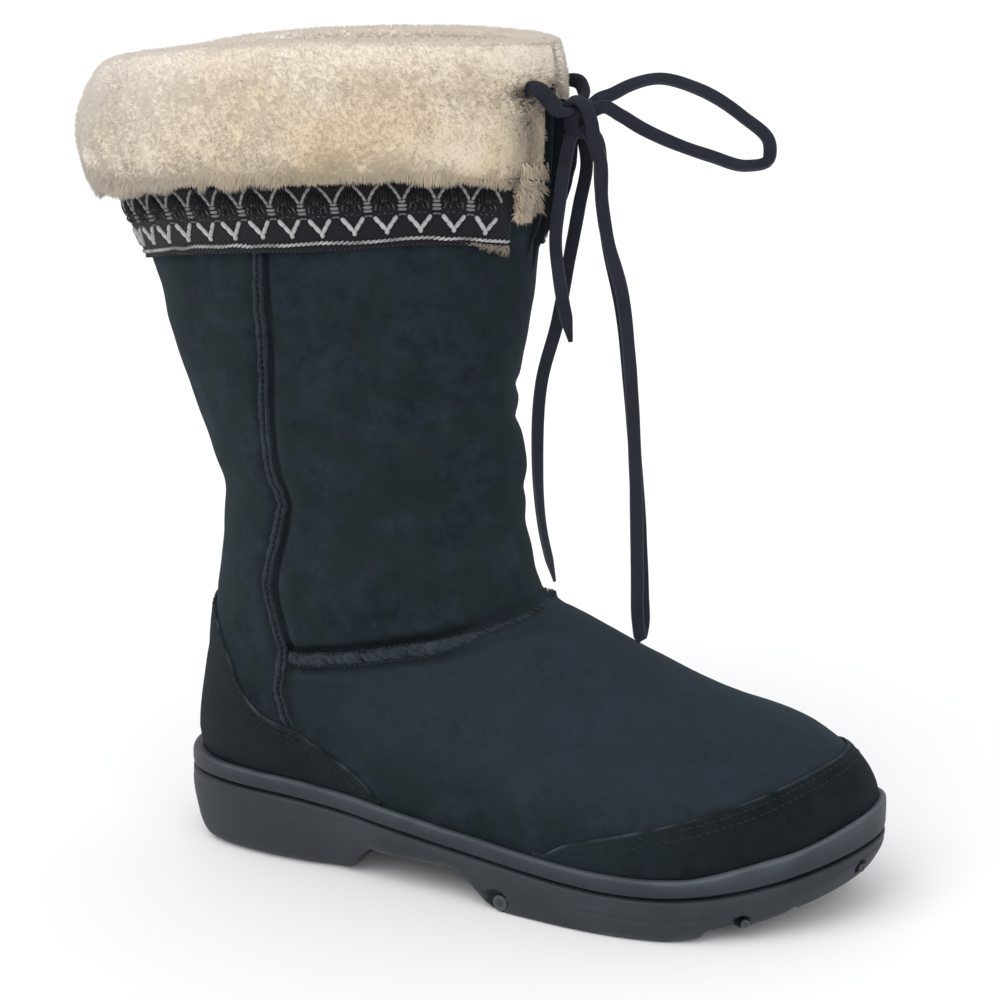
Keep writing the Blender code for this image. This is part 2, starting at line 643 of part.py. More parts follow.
# ------------------------------------------------------------------ lace
# Routes in table millimetres; "out" and "back" are directions in which a strand leaves the knot.
BAR_HALF = (
    # lateral half of the bar, from the knot through the hole to the middle; the medial half mirrors it
    (163.6, -15.0, 303.4), (161.6, -19.2, 304.6), (154.0, -20.0, 304.9), (144.0, -20.0, 304.9),
    (132.5, -20.2, 304.9), (126.4, -16.8, 304.9), (124.0, -8.0, 304.9))
BAR_EXIT = (-0.25, -0.85, 0.35)
CORDS = {
    # node: (leaves the knot towards, comes back from or None, points between)
    "lace_loop_side": ((0.70, 0.30, 0.65), (0.94, 0.34, -0.04), (
        (181.0, 6.0, 309.5), (190.0, 10.0, 311.5), (204.0, 15.0, 308.0), (220.0, 20.0, 298.0),
        (229.5, 24.0, 288.0), (228.5, 25.5, 281.5), (221.0, 25.0, 279.5), (208.0, 21.0, 283.0),
        (194.0, 14.0, 288.0), (183.5, 8.0, 293.5))),
    "lace_loop_hang": ((0.62, -0.50, -0.60), (0.62, 0.45, -0.64), (
        (173.5, -5.5, 284.0), (174.6, -5.5, 268.0), (177.0, -5.5, 254.0), (182.5, -5.0, 235.0),
        (186.0, -5.0, 209.0), (187.8, -5.0, 186.0), (189.4, -5.0, 156.0), (190.2, -4.8, 128.0),
        (190.5, -3.8, 107.5), (190.6, -0.3, 100.4), (190.4, 3.4, 104.0), (189.8, 4.2, 116.0),
        (188.6, 4.2, 140.0), (186.8, 4.0, 170.0), (184.6, 4.0, 200.0), (180.5, 3.8, 228.0),
        (175.5, 3.2, 250.0), (173.8, 2.2, 270.0))),
    "lace_tail_short": ((-0.10, -0.62, -0.78), None, (
        (164.4, -8.0, 282.0), (161.4, -8.0, 268.0), (158.2, -8.0, 253.0), (159.4, -7.5, 236.0),
        (163.5, -7.0, 215.0))),
    "lace_tail_long": ((-0.05, 0.62, -0.78), None, (
        (164.6, 6.0, 282.0), (162.0, 5.5, 264.0), (158.2, 4.5, 242.0), (154.4, 3.5, 220.0),
        (148.6, 3.0, 198.0), (146.8, 3.0, 168.0), (149.2, 3.0, 138.0), (154.2, 3.0, 118.0))),
}
KNOT_CENTRE = (165.8, -1.0, 298.5)
KNOT_RADII = (5.4, 7.0, 6.5)
KNOT_CLEAR = 1.0            # the round end of a strand keeps this far from the round knot
KNOT_LEAD = 5.0


def knot_exit(direction, clear=KNOT_CLEAR):
    """Two points outside the knot along direction, where a strand leaves it square to its surface."""
    along = np.asarray(direction) / np.linalg.norm(direction)
    reach = 1.0 / np.linalg.norm(along / np.asarray(KNOT_RADII)) + clear
    return [np.asarray(KNOT_CENTRE) + along * (reach + step) for step in (0.0, KNOT_LEAD)]


def smooth_route(points, step):
    """Evenly spaced points of a Catmull-Rom curve through points."""
    points = np.asarray(points, float)
    knots = np.concatenate([[0.0], np.cumsum(np.linalg.norm(np.diff(points, axis=0), axis=1))])
    count = max(4, int(round(knots[-1] / step)) + 1)
    return blend_weights(knots, np.linspace(0.0, knots[-1], count)) @ points


def add_cord(name, route, mat, target):
    """A round cord with closed ends, made a mesh from a bevelled curve."""
    curve = bpy.data.curves.new(name, "CURVE")
    curve.dimensions = "3D"
    curve.bevel_depth = LACE_DIAMETER / 2 * MM
    curve.bevel_resolution = 2
    curve.use_fill_caps = True
    spline = curve.splines.new("POLY")
    places = boot_space(smooth_route(route, 2.2 * LACE_DIAMETER))
    spline.points.add(len(places) - 1)
    for point, place in zip(spline.points, places):
        point.co = (*place, 1.0)
    curve.materials.append(mat)
    cord = bpy.data.objects.new(name, curve)
    target.objects.link(cord)
    return cord


def build_lace(target):
    """The thong: a bar through both holes, the knot, two loops and two tails."""
    leather = material("lace_leather", (0.022, 0.026, 0.034), 0.7)
    lateral = [knot_exit(BAR_EXIT)[0], *BAR_HALF]
    medial = [(x, -y, z) for x, y, z in lateral[1:]]
    medial.insert(0, knot_exit((BAR_EXIT[0], -BAR_EXIT[1], BAR_EXIT[2]))[0])
    add_cord("lace_bar", lateral + medial[::-1], leather, target)
    bpy.ops.mesh.primitive_uv_sphere_add(segments=16, ring_count=10, radius=1.0)
    knot = bpy.context.object
    knot.name = "lace_knot"
    knot.data.name = "lace_knot"
    knot.scale = [radius * MM for radius in KNOT_RADII]
    knot.location = boot_space([KNOT_CENTRE])[0]
    knot.data.shade_smooth()
    knot.data.materials.append(leather)
    for holder in list(knot.users_collection):
        holder.objects.unlink(knot)
    target.objects.link(knot)
    for name, (out, back, between) in CORDS.items():
        route = [*knot_exit(out), *between]
        if back:
            route += knot_exit(back)[::-1]
        add_cord(name, route, leather, target)


# ------------------------------------------------------------------ run
def clear_scene():
    for item in list(bpy.data.objects):
        bpy.data.objects.remove(item, do_unlink=True)


def new_collection(name):
    made = bpy.data.collections.new(name)
    bpy.context.scene.collection.children.link(made)
    return made


def main():
    clear_scene()
    boot = new_collection("sheepskin_boot")
    cutters = new_collection("cutters")
    build_outsole(boot, cutters)
    build_midsole(boot)
    build_insole(boot)
    build_upper(boot, cutters)
    build_heel_counter(boot)
    build_toe_cap(boot)
    build_braid_band(boot)
    build_fur_cuff(boot, cutters)
    build_lace(boot)


main()
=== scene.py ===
"""Looks of a sheepskin winter boot: suede, shearling, woven braid, moulded rubber and a thong tie.

Sizes in the tables are millimetres in the boot's own frame: x from the back of the sole to the toe,
y to the wearer's left, z up from the ground.  place() turns them into the model's metres.
"""

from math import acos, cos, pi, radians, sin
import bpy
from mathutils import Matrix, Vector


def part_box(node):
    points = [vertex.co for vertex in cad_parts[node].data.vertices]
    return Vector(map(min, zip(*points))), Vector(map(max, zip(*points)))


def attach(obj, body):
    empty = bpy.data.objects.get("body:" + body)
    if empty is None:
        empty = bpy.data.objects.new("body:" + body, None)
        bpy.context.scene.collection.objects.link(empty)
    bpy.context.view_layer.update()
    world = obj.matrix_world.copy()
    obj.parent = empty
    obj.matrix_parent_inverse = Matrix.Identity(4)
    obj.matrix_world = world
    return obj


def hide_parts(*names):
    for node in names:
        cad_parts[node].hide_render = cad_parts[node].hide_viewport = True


bl_info = {
    "name": "Sheepskin boot looks",
    "version": (1, 0, 0),
    "blender": (4, 5, 0),
    "location": "3D View > Sidebar > Boot",
    "description": "Suede, shearling, braid, rubber and lace of a sheepskin winter boot",
    "category": "Object",
}

import bmesh
import bpy
import numpy as np
from mathutils import Vector

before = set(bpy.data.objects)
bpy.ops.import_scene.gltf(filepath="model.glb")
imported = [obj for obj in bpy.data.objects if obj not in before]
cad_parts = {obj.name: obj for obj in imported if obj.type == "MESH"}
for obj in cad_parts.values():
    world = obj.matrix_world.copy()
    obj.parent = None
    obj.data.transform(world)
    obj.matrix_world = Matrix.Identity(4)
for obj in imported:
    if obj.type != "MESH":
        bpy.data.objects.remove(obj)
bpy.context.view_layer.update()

# ---- sizes (millimetres)
MM = 0.001
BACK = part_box("midsole")[0].x                       # the back of the sole in the model's frame
SOLE_LENGTH = (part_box("midsole")[1].x - BACK) / MM
BALL_WIDTH = 106
HEEL_WIDTH = 76
WAIST_WIDTH = 82
BALL_SHIFT = -2.5
WAIST_SHIFT = -5.5
TOE_SHIFT = 13
WALL = 8.5                  # suede and its fleece
SUEDE = 1.9                 # the suede alone
RIM_BAND = 7              # height of the rim above the groove line
LEDGE = 4.2                 # rim showing outside the suede
CUP_DEPTH = 4             # how far the fleece stands down inside the rim
HEEL_BREAST = 79          # end of the flat heel block
FOREPART_START = 151
FOREPART_END = 217        # toe spring begins here
ARCH_RISE = 13
TOE_SPRING = 17
HEEL_STRIKE = 6           # rise of the tread at the back of the heel
TREAD_DEPTH = 4.5
BAND_WIDTH = 24
BAND_TO_COLLAR = 66       # from the lower edge of the braid to the collar
SLIT_FOOT_Z = 240
SLIT_TOP_Z = 308
COUNTER_SPAN = 71         # degrees of ring angle to each side of the back
CAP_SPAN = 81             # the same from the tip of the toe

RIM_STATIONS = (0, 45, 80, 111, 150, 195, 225, 255, 285)
RIM_HEIGHTS = (37, 37.5, 35, 31, 27, 24.5, 25.5, 29.5, 37)

FOOT_FRONT = SOLE_LENGTH - LEDGE
HEEL_IN = HEEL_WIDTH / 2 - LEDGE
WAIST_IN = WAIST_WIDTH / 2 - LEDGE
BALL_IN = BALL_WIDTH / 2 - LEDGE
RING_COLUMNS = (
    "z_back", "z_front", "x_back", "x_front", "heel_w", "waist_w", "ball_w",
    "waist_shift", "ball_shift", "tip_shift", "round_back", "round_front", "follow", "side_rise")
UPPER_RINGS = (
    # name     z_bk   z_fr   x_bk   x_fr   heel  waist ball  w_sh  b_sh  tip   r_bk r_fr follow rise
    ("feather", 33.3, 33.3, LEDGE, FOOT_FRONT, HEEL_IN, WAIST_IN, BALL_IN,
     WAIST_SHIFT, BALL_SHIFT, TOE_SHIFT, .17, .25, 1, 0),
    ("rim", 37, 37, LEDGE, FOOT_FRONT, HEEL_IN, WAIST_IN, BALL_IN,
     WAIST_SHIFT, BALL_SHIFT, TOE_SHIFT, .17, .25, 1, 0),
    ("welt", 44, 44, 2.8, 280.5, 35.6, 37.6, 50, -4.5, -2.5, 13, .17, .25, 0.9, 0),
    ("wall", 52, 52, 3.2, 277.5, 36.8, 38, 49.2, -4.5, -2.5, 13, .18, .26, 0.75, 0),
    ("toe_top", 59, 61.5, 4.2, 271, 37.2, 37.5, 46, -4, -2, 12, .19, .29, 0.55, 0),
    ("vamp_a", 66, 70, 5.4, 261, 37.2, 37.2, 42, -3.5, -1.5, 9, .20, .35, 0.35, 0),
    ("vamp_b", 74, 79, 7, 234, 37.2, 37.5, 39, -3, -1, 6, .22, .42, 0.2, 0),
    ("vamp_c", 83, 90, 9, 203, 37.5, 38.5, 37, -2, -1, 3, .25, .48, 0.1, 0),
    ("vamp_d", 93, 100.5, 10, 176, 38, 40, 37, -1, -0.5, 1, .30, .50, 0, 0),
    ("instep", 106, 111.5, 12.4, 151.5, 39, 42, 40, 0, 0, 0, .36, .50, 0, 0),
    ("ankle", 132, 131, 16.4, 143.5, 43, 44.5, 43, 0, 0, 0, .45, .50, 0, 0),
    ("calf_a", 162, 162, 12.9, 142, 45, 46, 45, 0, 0, 0, .48, .50, 0, 0),
    ("calf_b", 190, 188, 3, 138.8, 46.5, 47.5, 46.5, 0, 0, 0, .50, .50, 0, 1),
    ("calf_c", 216, 218, -6.6, 143, 47.5, 48.5, 47.5, 0, 0, 0, .50, .50, 0, 3),
    ("band", 241, 250, -13.5, 146.8, 49.5, 50.5, 49.5, 0, 0, 0, .50, .50, 0, 8.5),
    ("flare", 260, 268, -22, 149.5, 53, 54, 53, 0, 0, 0, .50, .50, 0, 8.5),
    ("collar", 308, 318.5, -26, 151, 55, 56, 55, 0, 0, 0, .50, .50, 0, 5),
)
RING_NAMES = tuple(row[0] for row in UPPER_RINGS)
RING_TABLE = np.array([row[1:] for row in UPPER_RINGS], float)
WIDTH_STATIONS = (0, 0.15, 0.45, 0.72, 1)
TOE_TAPER = 0.93            # width of the toe over the width of the ball

# Edges of the suede overlays: height above the ground at stations along the boot.
COUNTER_STATIONS = (0, 10, 17, 25, 29, 35, 42, 48, 59, 68, 80, 90, 98, 102)
COUNTER_HEIGHTS = (106, 103, 98, 87.5, 80.5, 71, 64.5, 61.5, 58.5, 54.5, 47.5, 40.5, 32, 27)
CAP_STATIONS = (158, 165, 171, 177, 189, 200, 214, 228, 246, 264, 285)
CAP_HEIGHTS = (20, 23.5, 28.5, 32.5, 37, 40.5, 44.5, 48, 53, 59.5, 66)

# Seams as places (x, z) in the side view, the same on both sides of the boot.
SIDE_SEAM = (
    (55.5, 255), (55, 231), (55.5, 212), (55, 193), (54.5, 173), (56, 161),
    (59, 151.5), (58, 141.5), (54, 128.5), (51.5, 117.5), (53, 107.5), (55.5, 96),
    (55.5, 85.5), (53.5, 74), (55, 68), (57.5, 61), (59.5, 56.5))
VAMP_SEAM = (
    (58.5, 88), (64.5, 88.5), (78, 90.5), (91, 93), (107, 96.5), (120, 99),
    (132.5, 103), (143.5, 107), (149.5, 109), (152, 110))

# Soft folds in the side view: x and z of both ends, side (-1 outer, 1 inner, 0 both), depth, half width.
# A negative depth is a ridge.
FOLDS = (
    (12, 150, 52, 156, 0, 2.4, 9),
    (60, 151, 92, 141, -1, 1.2, 8),
    (60, 148, 100, 150, 1, 1.5, 8),
    (126, 195, 146, 193.5, 0, 1.3, 3.4),
    (118, 182, 146, 181, 0, 1.7, 4.2),
    (128, 170.5, 146, 169, -1, 1.1, 3),
    (112, 158, 147, 153, 0, 1.3, 5.5),
    (104, 136, 148, 141, 0, 1.1, 6.5),
    (70, 113, 132, 123, -1, -1.7, 12),
    (72, 113, 128, 121, 1, -1.4, 12),
    (64, 81.4, 86, 82.6, -1, -0.8, 1.9),
    (68, 77.6, 86, 79.2, -1, 0.8, 1.8),
    (70, 74.4, 88, 77, -1, -0.5, 1.5),
    (150, 99, 196, 84, -1, 0.9, 9),
    (160, 58, 214, 66, -1, 0.8, 9),
    (120, 56, 150, 74, 1, 1.1, 9),
    (168, 60, 212, 70, 1, 1, 9),
    (-8, 226, 40, 214, 0, 0.9, 9),
    (51.6, 244, 52.4, 222, -1, -0.9, 1.5),
    (70, 226, 128, 210, -1, 0.8, 12),
    (66, 190, 120, 172, -1, -0.9, 14),
    (66, 222, 130, 200, 1, 0.9, 12),
)

# The thong's route in the boot's frame, a row for each given point.
KNOT_CENTRE = (163.8, -1, 297.8)
KNOT_RADII = (5.4, 7, 6.5)
KNOT_CLEAR = 1            # gap from the knot to a strand's first point
KNOT_LEAD = 2.4             # from there to its second point
KNOT_GRIP = 2.6             # how far a strand reaches into the knot
OVER_TURN = (
    # the turn that comes over the top of the knot and runs on into the near strand of the loop
    (160.6, -6, 301), (162.6, -8.4, 303.8), (166.2, -9.2, 304.6), (169.4, -9.4, 302.4),
    (171.4, -9, 297), (172.2, -8.2, 291.5), (172.9, -6.6, 286.5), (173, -5, 283))
BAR_EXIT = (-0.25, -0.85, 0.35)             # direction in which the strap leaves the knot
BAR_HALF = (
    # from the knot through the outer hole to the middle of the inside
    (161, -11.5, 300.4), (160, -15.5, 302.2), (158.4, -20, 305.9), (155.8, -21.8, 308.8),
    (152.6, -20.8, 309.4), (149.6, -18.6, 308), (146.6, -18.8, 306), (143, -19.8, 304.9),
    (132.5, -20.2, 304.9), (126.4, -16.8, 304.9), (124, -8, 304.9))
CORDS = {
    # node: (leaves the knot towards, comes back from or None, points between)
    "lace_loop_side": ((0.66, 0.36, 0.64), (0.88, 0.20, 0.40), (
        (174.4, 6, 305.8), (179.5, 8, 308.6), (190, 10.5, 311.5), (204, 15, 308),
        (220, 20, 298), (229.5, 24, 288), (228.5, 25.5, 281.5), (221, 25, 279.5),
        (208, 21, 283), (194, 14, 288.6), (184, 9.5, 293.8), (177.6, 6, 298.2))),
    "lace_loop_hang": ((0.62, -0.50, -0.60), (0.40, 0.60, -0.69), (
        (173.5, -5.5, 284), (174.6, -5.5, 268), (177, -5.5, 254), (182.5, -5, 235),
        (186, -5, 209), (187.8, -5, 186), (189.4, -5, 156), (190.2, -4.8, 128),
        (190.5, -3.8, 107.5), (190.6, -0.3, 100.4), (190.4, 3.4, 104), (189.8, 4.2, 116),
        (188.4, 4.2, 140), (186, 4, 170), (183, 4, 200), (179.4, 3.8, 228),
        (174.4, 3.2, 250), (171.6, 2.4, 270))),
    "lace_tail_short": ((-0.10, -0.62, -0.78), None, (
        (161.2, -8, 282), (159.2, -8, 268), (157.6, -8, 253), (159.4, -7.5, 236),
        (163.5, -7, 215))),
    "lace_tail_long": ((-0.05, 0.62, -0.78), None, (
        (164.6, 6, 282), (162, 5.5, 264), (158.2, 4.5, 242), (154.4, 3.5, 220),
        (148.6, 3, 198), (146.8, 3, 168), (149.2, 3, 138), (154.2, 3, 118))),
}


def srgb(red, green, blue):
    """Linear colour of three display values from 0 to 255."""
    shown = np.array([red, green, blue]) / 255
    return tuple(np.where(shown <= 0.04045, shown / 12.92, ((shown + 0.055) / 1.055) ** 2.4))


# ---- smooth interpolation
def blend_weights(knots, at):
    """Weights of a Catmull-Rom curve through knots, one row for each place in at."""
    knots = np.asarray(knots, float)
    at = np.clip(np.atleast_1d(np.asarray(at, float)), knots[0], knots[-1])
    identity = np.eye(len(knots))
    slopes = np.gradient(identity, knots, axis=0)
    cell = np.clip(np.searchsorted(knots, at, side="right") - 1, 0, len(knots) - 2)
    span = knots[cell + 1] - knots[cell]
    s = ((at - knots[cell]) / span)[:, None]
    h00 = 2 * s ** 3 - 3 * s ** 2 + 1
    h10 = s ** 3 - 2 * s ** 2 + s
    h01 = -2 * s ** 3 + 3 * s ** 2
    h11 = s ** 3 - s ** 2
    return (h00 * identity[cell] + h10 * span[:, None] * slopes[cell]
            + h01 * identity[cell + 1] + h11 * span[:, None] * slopes[cell + 1])


def curve_value(stations, values, at):
    """Smooth curve through values at stations, read at any array of places."""
    return (blend_weights(stations, np.ravel(at)) @ np.asarray(values, float)).reshape(np.shape(at))


def smooth_step(low, high, value):
    """0 up to low, 1 from high on, and a cubic ease between."""
    s = np.clip((np.asarray(value, float) - low) / (high - low), 0, 1)
    return s * s * (3 - 2 * s)


def fade(low, high, value):
    """1 up to low, 0 from high on."""
    return 1 - smooth_step(low, high, value)


def bell(distance, width):
    """1 at distance 0, falling away to both sides: e to the power of minus (distance / width) squared."""
    return np.exp(-(distance / width) ** 2)


def unit(vectors):
    """Vectors brought to length 1."""
    return vectors / np.maximum(np.linalg.norm(vectors, axis=-1, keepdims=True), 1e-9)


def circle(count):
    """Even angles once round."""
    return np.arange(count) * 2 * pi / count


def arc_length(line):
    """Distance run along a line of points, at each of them."""
    return np.concatenate([[0], np.cumsum(np.linalg.norm(np.diff(line, axis=0), axis=1))])


def sample(at, run, values):
    """Rows of values, known at the distances in run, read at other distances."""
    return np.stack([np.interp(at, run, column) for column in values.T], -1)


def smooth_line(points, step):
    """Evenly spaced points, about step apart, of a Catmull-Rom curve through points."""
    points = np.asarray(points, float)
    knots = arc_length(points)
    dense = blend_weights(knots, np.linspace(0, knots[-1], 40 * len(points))) @ points
    run = arc_length(dense)
    return sample(np.linspace(0, run[-1], max(4, int(round(run[-1] / step)) + 1)), run, dense)


LATTICE = 4096
LATTICE_STEPS = np.array([1, 131, 1733])


def noise(points, size, seed):
    """Value noise from -1 to 1: random numbers on a lattice of cells `size` across, eased between."""
    table = np.random.default_rng(seed).uniform(-1, 1, LATTICE)
    scaled = np.asarray(points, float) / size
    cell = np.floor(scaled).astype(int)
    part = scaled - cell
    part = part * part * (3 - 2 * part)
    total = np.zeros(scaled.shape[:-1])
    for corner in np.ndindex(2, 2, 2):
        index = ((cell + corner) @ LATTICE_STEPS) % LATTICE
        total += table[index] * np.prod(np.where(corner, part, 1 - part), axis=-1)
    return total


def noise3(points, size, seed):
    """Three value noises, one for each axis."""
    return np.stack([noise(points, size, seed + i) for i in range(3)], -1)


# ---- the sole's own curves
def rim_height(x):
    """Top edge of the rubber rim above the ground at x."""
    return curve_value(RIM_STATIONS, RIM_HEIGHTS, x)


def groove_height(x):
    """Height of the groove between the sole and its rim."""
    return rim_height(x) - RIM_BAND


def tread_height(x):
    """Underside of the sole: flat heel, arch, flat forepart, then the toe spring."""
    strike = HEEL_STRIKE * fade(0, 14, x)
    arch = ARCH_RISE * (smooth_step(HEEL_BREAST, HEEL_BREAST + 15, x)
                        - smooth_step(FOREPART_START - 22, FOREPART_START, x))
    past = np.clip((np.asarray(x, float) - FOREPART_END) / (SOLE_LENGTH - FOREPART_END), 0, 1)
    return strike + arch + TOE_SPRING * past ** 1.4


CHANNELS = (
    # x centre, width along the boot, length across it, turn in degrees
    (28, 4.5, 44, 0), (54, 4.5, 50, 0), (170, 5, 74, 8),
    (195, 5, 78, 6), (234, 12, 130, 3), (258, 5, 54, 0))
POCKETS = (
    # x, height above the tread, radius of the pocket, radius of its stud, side
    (149.5, 4.6, 5.2, 3.3, -1), (245, 3.4, 3.3, 1.7, -1), (281, 5.2, 3.2, 1.7, -1),
    (149.5, 4.6, 5.2, 3.5, 1), (247, 3.6, 4, 2.2, 1))


def channel_depth(x, y):
    """Height cut out of the tread at x and y by the channels between the lugs."""
    depth = np.zeros(np.shape(x))
    for centre, width, length, turn in CHANNELS:
        a = radians(turn)
        along = np.abs((x - centre) * cos(a) + y * sin(a))
        across = np.abs(-(x - centre) * sin(a) + y * cos(a))
        cut = fade(width / 2 - 0.9, width / 2 + 0.9, along)
        end = fade(length / 2 - 1, length / 2 + 1, across)
        depth = np.maximum(depth, TREAD_DEPTH * cut * end)
    return depth


# ---- rings
def end_round(t, back, front):
    """1 along the middle of a ring, rounded to 0 over the back and front fractions of its length."""
    near_back = np.clip(t / back, 0, 1)
    near_front = np.clip((1 - t) / front, 0, 1)
    return np.sqrt(1 - (1 - near_back) ** 2) * np.sqrt(1 - (1 - near_front) ** 2)


def ring_xy(column, theta):
    """Plan of rings: theta 0 is the back, pi the front, 0 to pi the outer side, pi to 2 pi the inner."""
    t = (1 - np.cos(theta)) / 2
    side = np.where(np.mod(theta, 2 * pi) <= pi, -1, 1)
    weights = blend_weights(WIDTH_STATIONS, np.ravel(t)).reshape(t.shape + (5,))
    widths = np.stack([column["heel_w"], column["heel_w"], column["waist_w"], column["ball_w"],
                       column["ball_w"] * TOE_TAPER], -1)
    shifts = np.stack([0 * column["heel_w"], 0 * column["heel_w"], column["waist_shift"],
                       column["ball_shift"], column["tip_shift"]], -1)
    half_width = (weights * widths).sum(-1)
    shift = (weights * shifts).sum(-1)
    x = column["x_back"] + (column["x_front"] - column["x_back"]) * t
    y = shift + side * half_width * end_round(t, column["round_back"], column["round_front"])
    return x, y, t


def sole_ring(theta, inset=0, toe_inset=0):
    """Outline of the rubber, moved inwards by inset, and further by toe_inset at the toe."""
    inset = np.broadcast_to(np.asarray(inset, float), theta.shape)
    column = dict(
        x_back=inset, x_front=SOLE_LENGTH - inset - toe_inset, heel_w=HEEL_WIDTH / 2 - inset,
        waist_w=WAIST_WIDTH / 2 - inset, ball_w=BALL_WIDTH / 2 - inset,
        waist_shift=np.full_like(theta, WAIST_SHIFT), ball_shift=np.full_like(theta, BALL_SHIFT),
        tip_shift=np.full_like(theta, TOE_SHIFT),
        round_back=np.full_like(theta, 0.17), round_front=np.full_like(theta, 0.25))
    x, y, _ = ring_xy(column, theta)
    return x, y


def ring_levels():
    """Level of each ring: how far it lies along the back and front outlines, 0 to 1."""
    front = np.hypot(np.diff(RING_TABLE[:, 3]), np.diff(RING_TABLE[:, 1]))
    back = np.hypot(np.diff(RING_TABLE[:, 2]), np.diff(RING_TABLE[:, 0]))
    run = np.concatenate([[0], np.cumsum(front + back)])
    return run / run[-1]


LEVELS = ring_levels()


def level_of(name):
    """Level of a named ring."""
    return LEVELS[RING_NAMES.index(name)]


def band_level(height):
    """Level on the cuff's part of the shaft at a height above the braid's lower edge."""
    return level_of("band") + (1 - level_of("band")) * height / BAND_TO_COLLAR


def ring_rows(level):
    """Columns of the ring table read smoothly at any array of levels."""
    weights = blend_weights(LEVELS, np.ravel(level))
    rows = (weights @ RING_TABLE).reshape(np.shape(level) + (len(RING_COLUMNS),))
    return {name: rows[..., i] for i, name in enumerate(RING_COLUMNS)}


def upper_surface(theta, level):
    """Smooth outer face of the upper at ring angle theta and level, before folds and seams."""
    theta, level = np.broadcast_arrays(np.asarray(theta, float), np.asarray(level, float))
    column = ring_rows(level)
    x, y, t = ring_xy(column, theta)
    sag = rim_height(x) - (RIM_HEIGHTS[0] + (RIM_HEIGHTS[-1] - RIM_HEIGHTS[0]) * t)
    z = column["z_back"] + (column["z_front"] - column["z_back"]) * t
    z = z + column["follow"] * sag + column["side_rise"] * np.sin(theta) ** 2
    return np.stack([x, y, z], -1)


def upper_normal(theta, level):
    """Unit normal of the smooth outer face, pointing out of the boot."""
    d_theta, d_level = 0.01, 0.004
    low = np.clip(level - d_level, 0, 1)
    high = np.clip(level + d_level, 0, 1)
    along = upper_surface(theta + d_theta, level) - upper_surface(theta - d_theta, level)
    up = upper_surface(theta, high) - upper_surface(theta, low)
    return unit(np.cross(along, up))


def halving(low, high, is_below):
    """Level between low and high up to which is_below(level) holds, found by halving."""
    for _ in range(25):
        level = (low + high) / 2
        below = is_below(level)
        low, high = np.where(below, level, low), np.where(below, high, level)
    return (low + high) / 2


def find_on_side(x, z, side):
    """Ring angle and level of the place at x and z on the outer (-1) or inner (1) side."""
    def angle_at(level):
        column = ring_rows(level)
        share = np.clip((x - column["x_back"]) / (column["x_front"] - column["x_back"]), 0, 1)
        return np.arccos(1 - 2 * share)

    level = halving(np.zeros(x.shape), np.ones(x.shape),
                    lambda level: upper_surface(angle_at(level), level)[..., 2] < z)
    theta = angle_at(level)
    return (theta if side < 0 else 2 * pi - theta), level


def level_at_height(height, theta=pi, low=0):
    """Level, from low up, at which the outer face stands at a height at one ring angle."""
    levels = np.linspace(low, 1, 200)
    return np.interp(height, upper_surface(np.full(200, theta), levels)[:, 2], levels)


def edge_level(theta, height_at):
    """Level at which the outer face crosses the height height_at(x)."""
    def is_below(level):
        point = upper_surface(theta, level)
        return point[..., 2] < height_at(point[..., 0])

    return halving(np.full_like(theta, level_of("rim")), np.full_like(theta, level_of("ankle")), is_below)


# ---- relief of the suede
def segment_distance(points, start, end):
    """Distance of points to the straight piece from start to end."""
    start = np.asarray(start, float)
    along = np.asarray(end, float) - start
    share = np.clip(((points - start) @ along) / (along @ along), 0, 1)
    return np.linalg.norm(points - start - share[..., None] * along, axis=-1)


def line_distance(points, line):
    """Distance of points in the side view to a line of places, signed + on its front or upper side."""
    best = np.full(points.shape[:-1], 1e9)
    signed = np.zeros(points.shape[:-1])
    for start, end in zip(line[:-1], line[1:]):
        distance = segment_distance(points, start, end)
        along = np.subtract(end, start)
        turn = along[0] * (points[..., 1] - start[1]) - along[1] * (points[..., 0] - start[0])
        nearer = distance < best
        best = np.where(nearer, distance, best)
        signed = np.where(nearer, np.where(turn > 0, distance, -distance), signed)
    return signed


def seam_profile(points):
    """Depths of the valleys beside the side seams and the foot seam, deeper on one side than the other."""
    side_view = points[..., [0, 2]]
    side = line_distance(side_view, SIDE_SEAM)
    vamp = line_distance(side_view, VAMP_SEAM)
    ahead = smooth_step(52, 60, points[..., 0])
    lower = fade(84, 92, points[..., 2])
    valley = 1.8 * bell(side - 3.4, 2) + 0.9 * bell(side + 3.4, 1.8) - 1 * bell(side - 10, 5)
    valley = valley * (1 - 0.6 * lower)
    front = 1 - 0.55 * smooth_step(118, 148, points[..., 0])
    above = 2.1 * bell(vamp - 4, 2.3) + 1.2 * bell(vamp + 4.2, 1.7)
    return valley, above * ahead * front


def suede_relief(points):
    """How far the suede lies outside (+) or inside (-) the smooth form at points of that form.

    It is a sum of soft bells about listed folds, valleys beside the seams and slow noise; it fades
    to nothing at the rim and at the collar.
    """
    side_view = points[..., [0, 2]]
    relief = 0.55 * noise(points, 26, 11) + 0.28 * noise(points, 11, 12) + 0.1 * noise(points, 4.5, 13)
    wave = 1 + 0.35 * noise(points, 14, 17)
    for x0, z0, x1, z1, side, depth, width in FOLDS:
        distance = segment_distance(side_view, (x0, z0), (x1, z1))
        fold = depth * bell(distance, width) * wave
        if side:
            fold = fold * smooth_step(-6, 6, side * points[..., 1])
        relief = relief - fold
    valley, above = seam_profile(points)
    relief = relief - valley - above
    clear = points[..., 2] - rim_height(points[..., 0])
    relief = relief * smooth_step(1, 12, clear)
    return relief * (1 - 0.8 * smooth_step(244, 262, points[..., 2]))


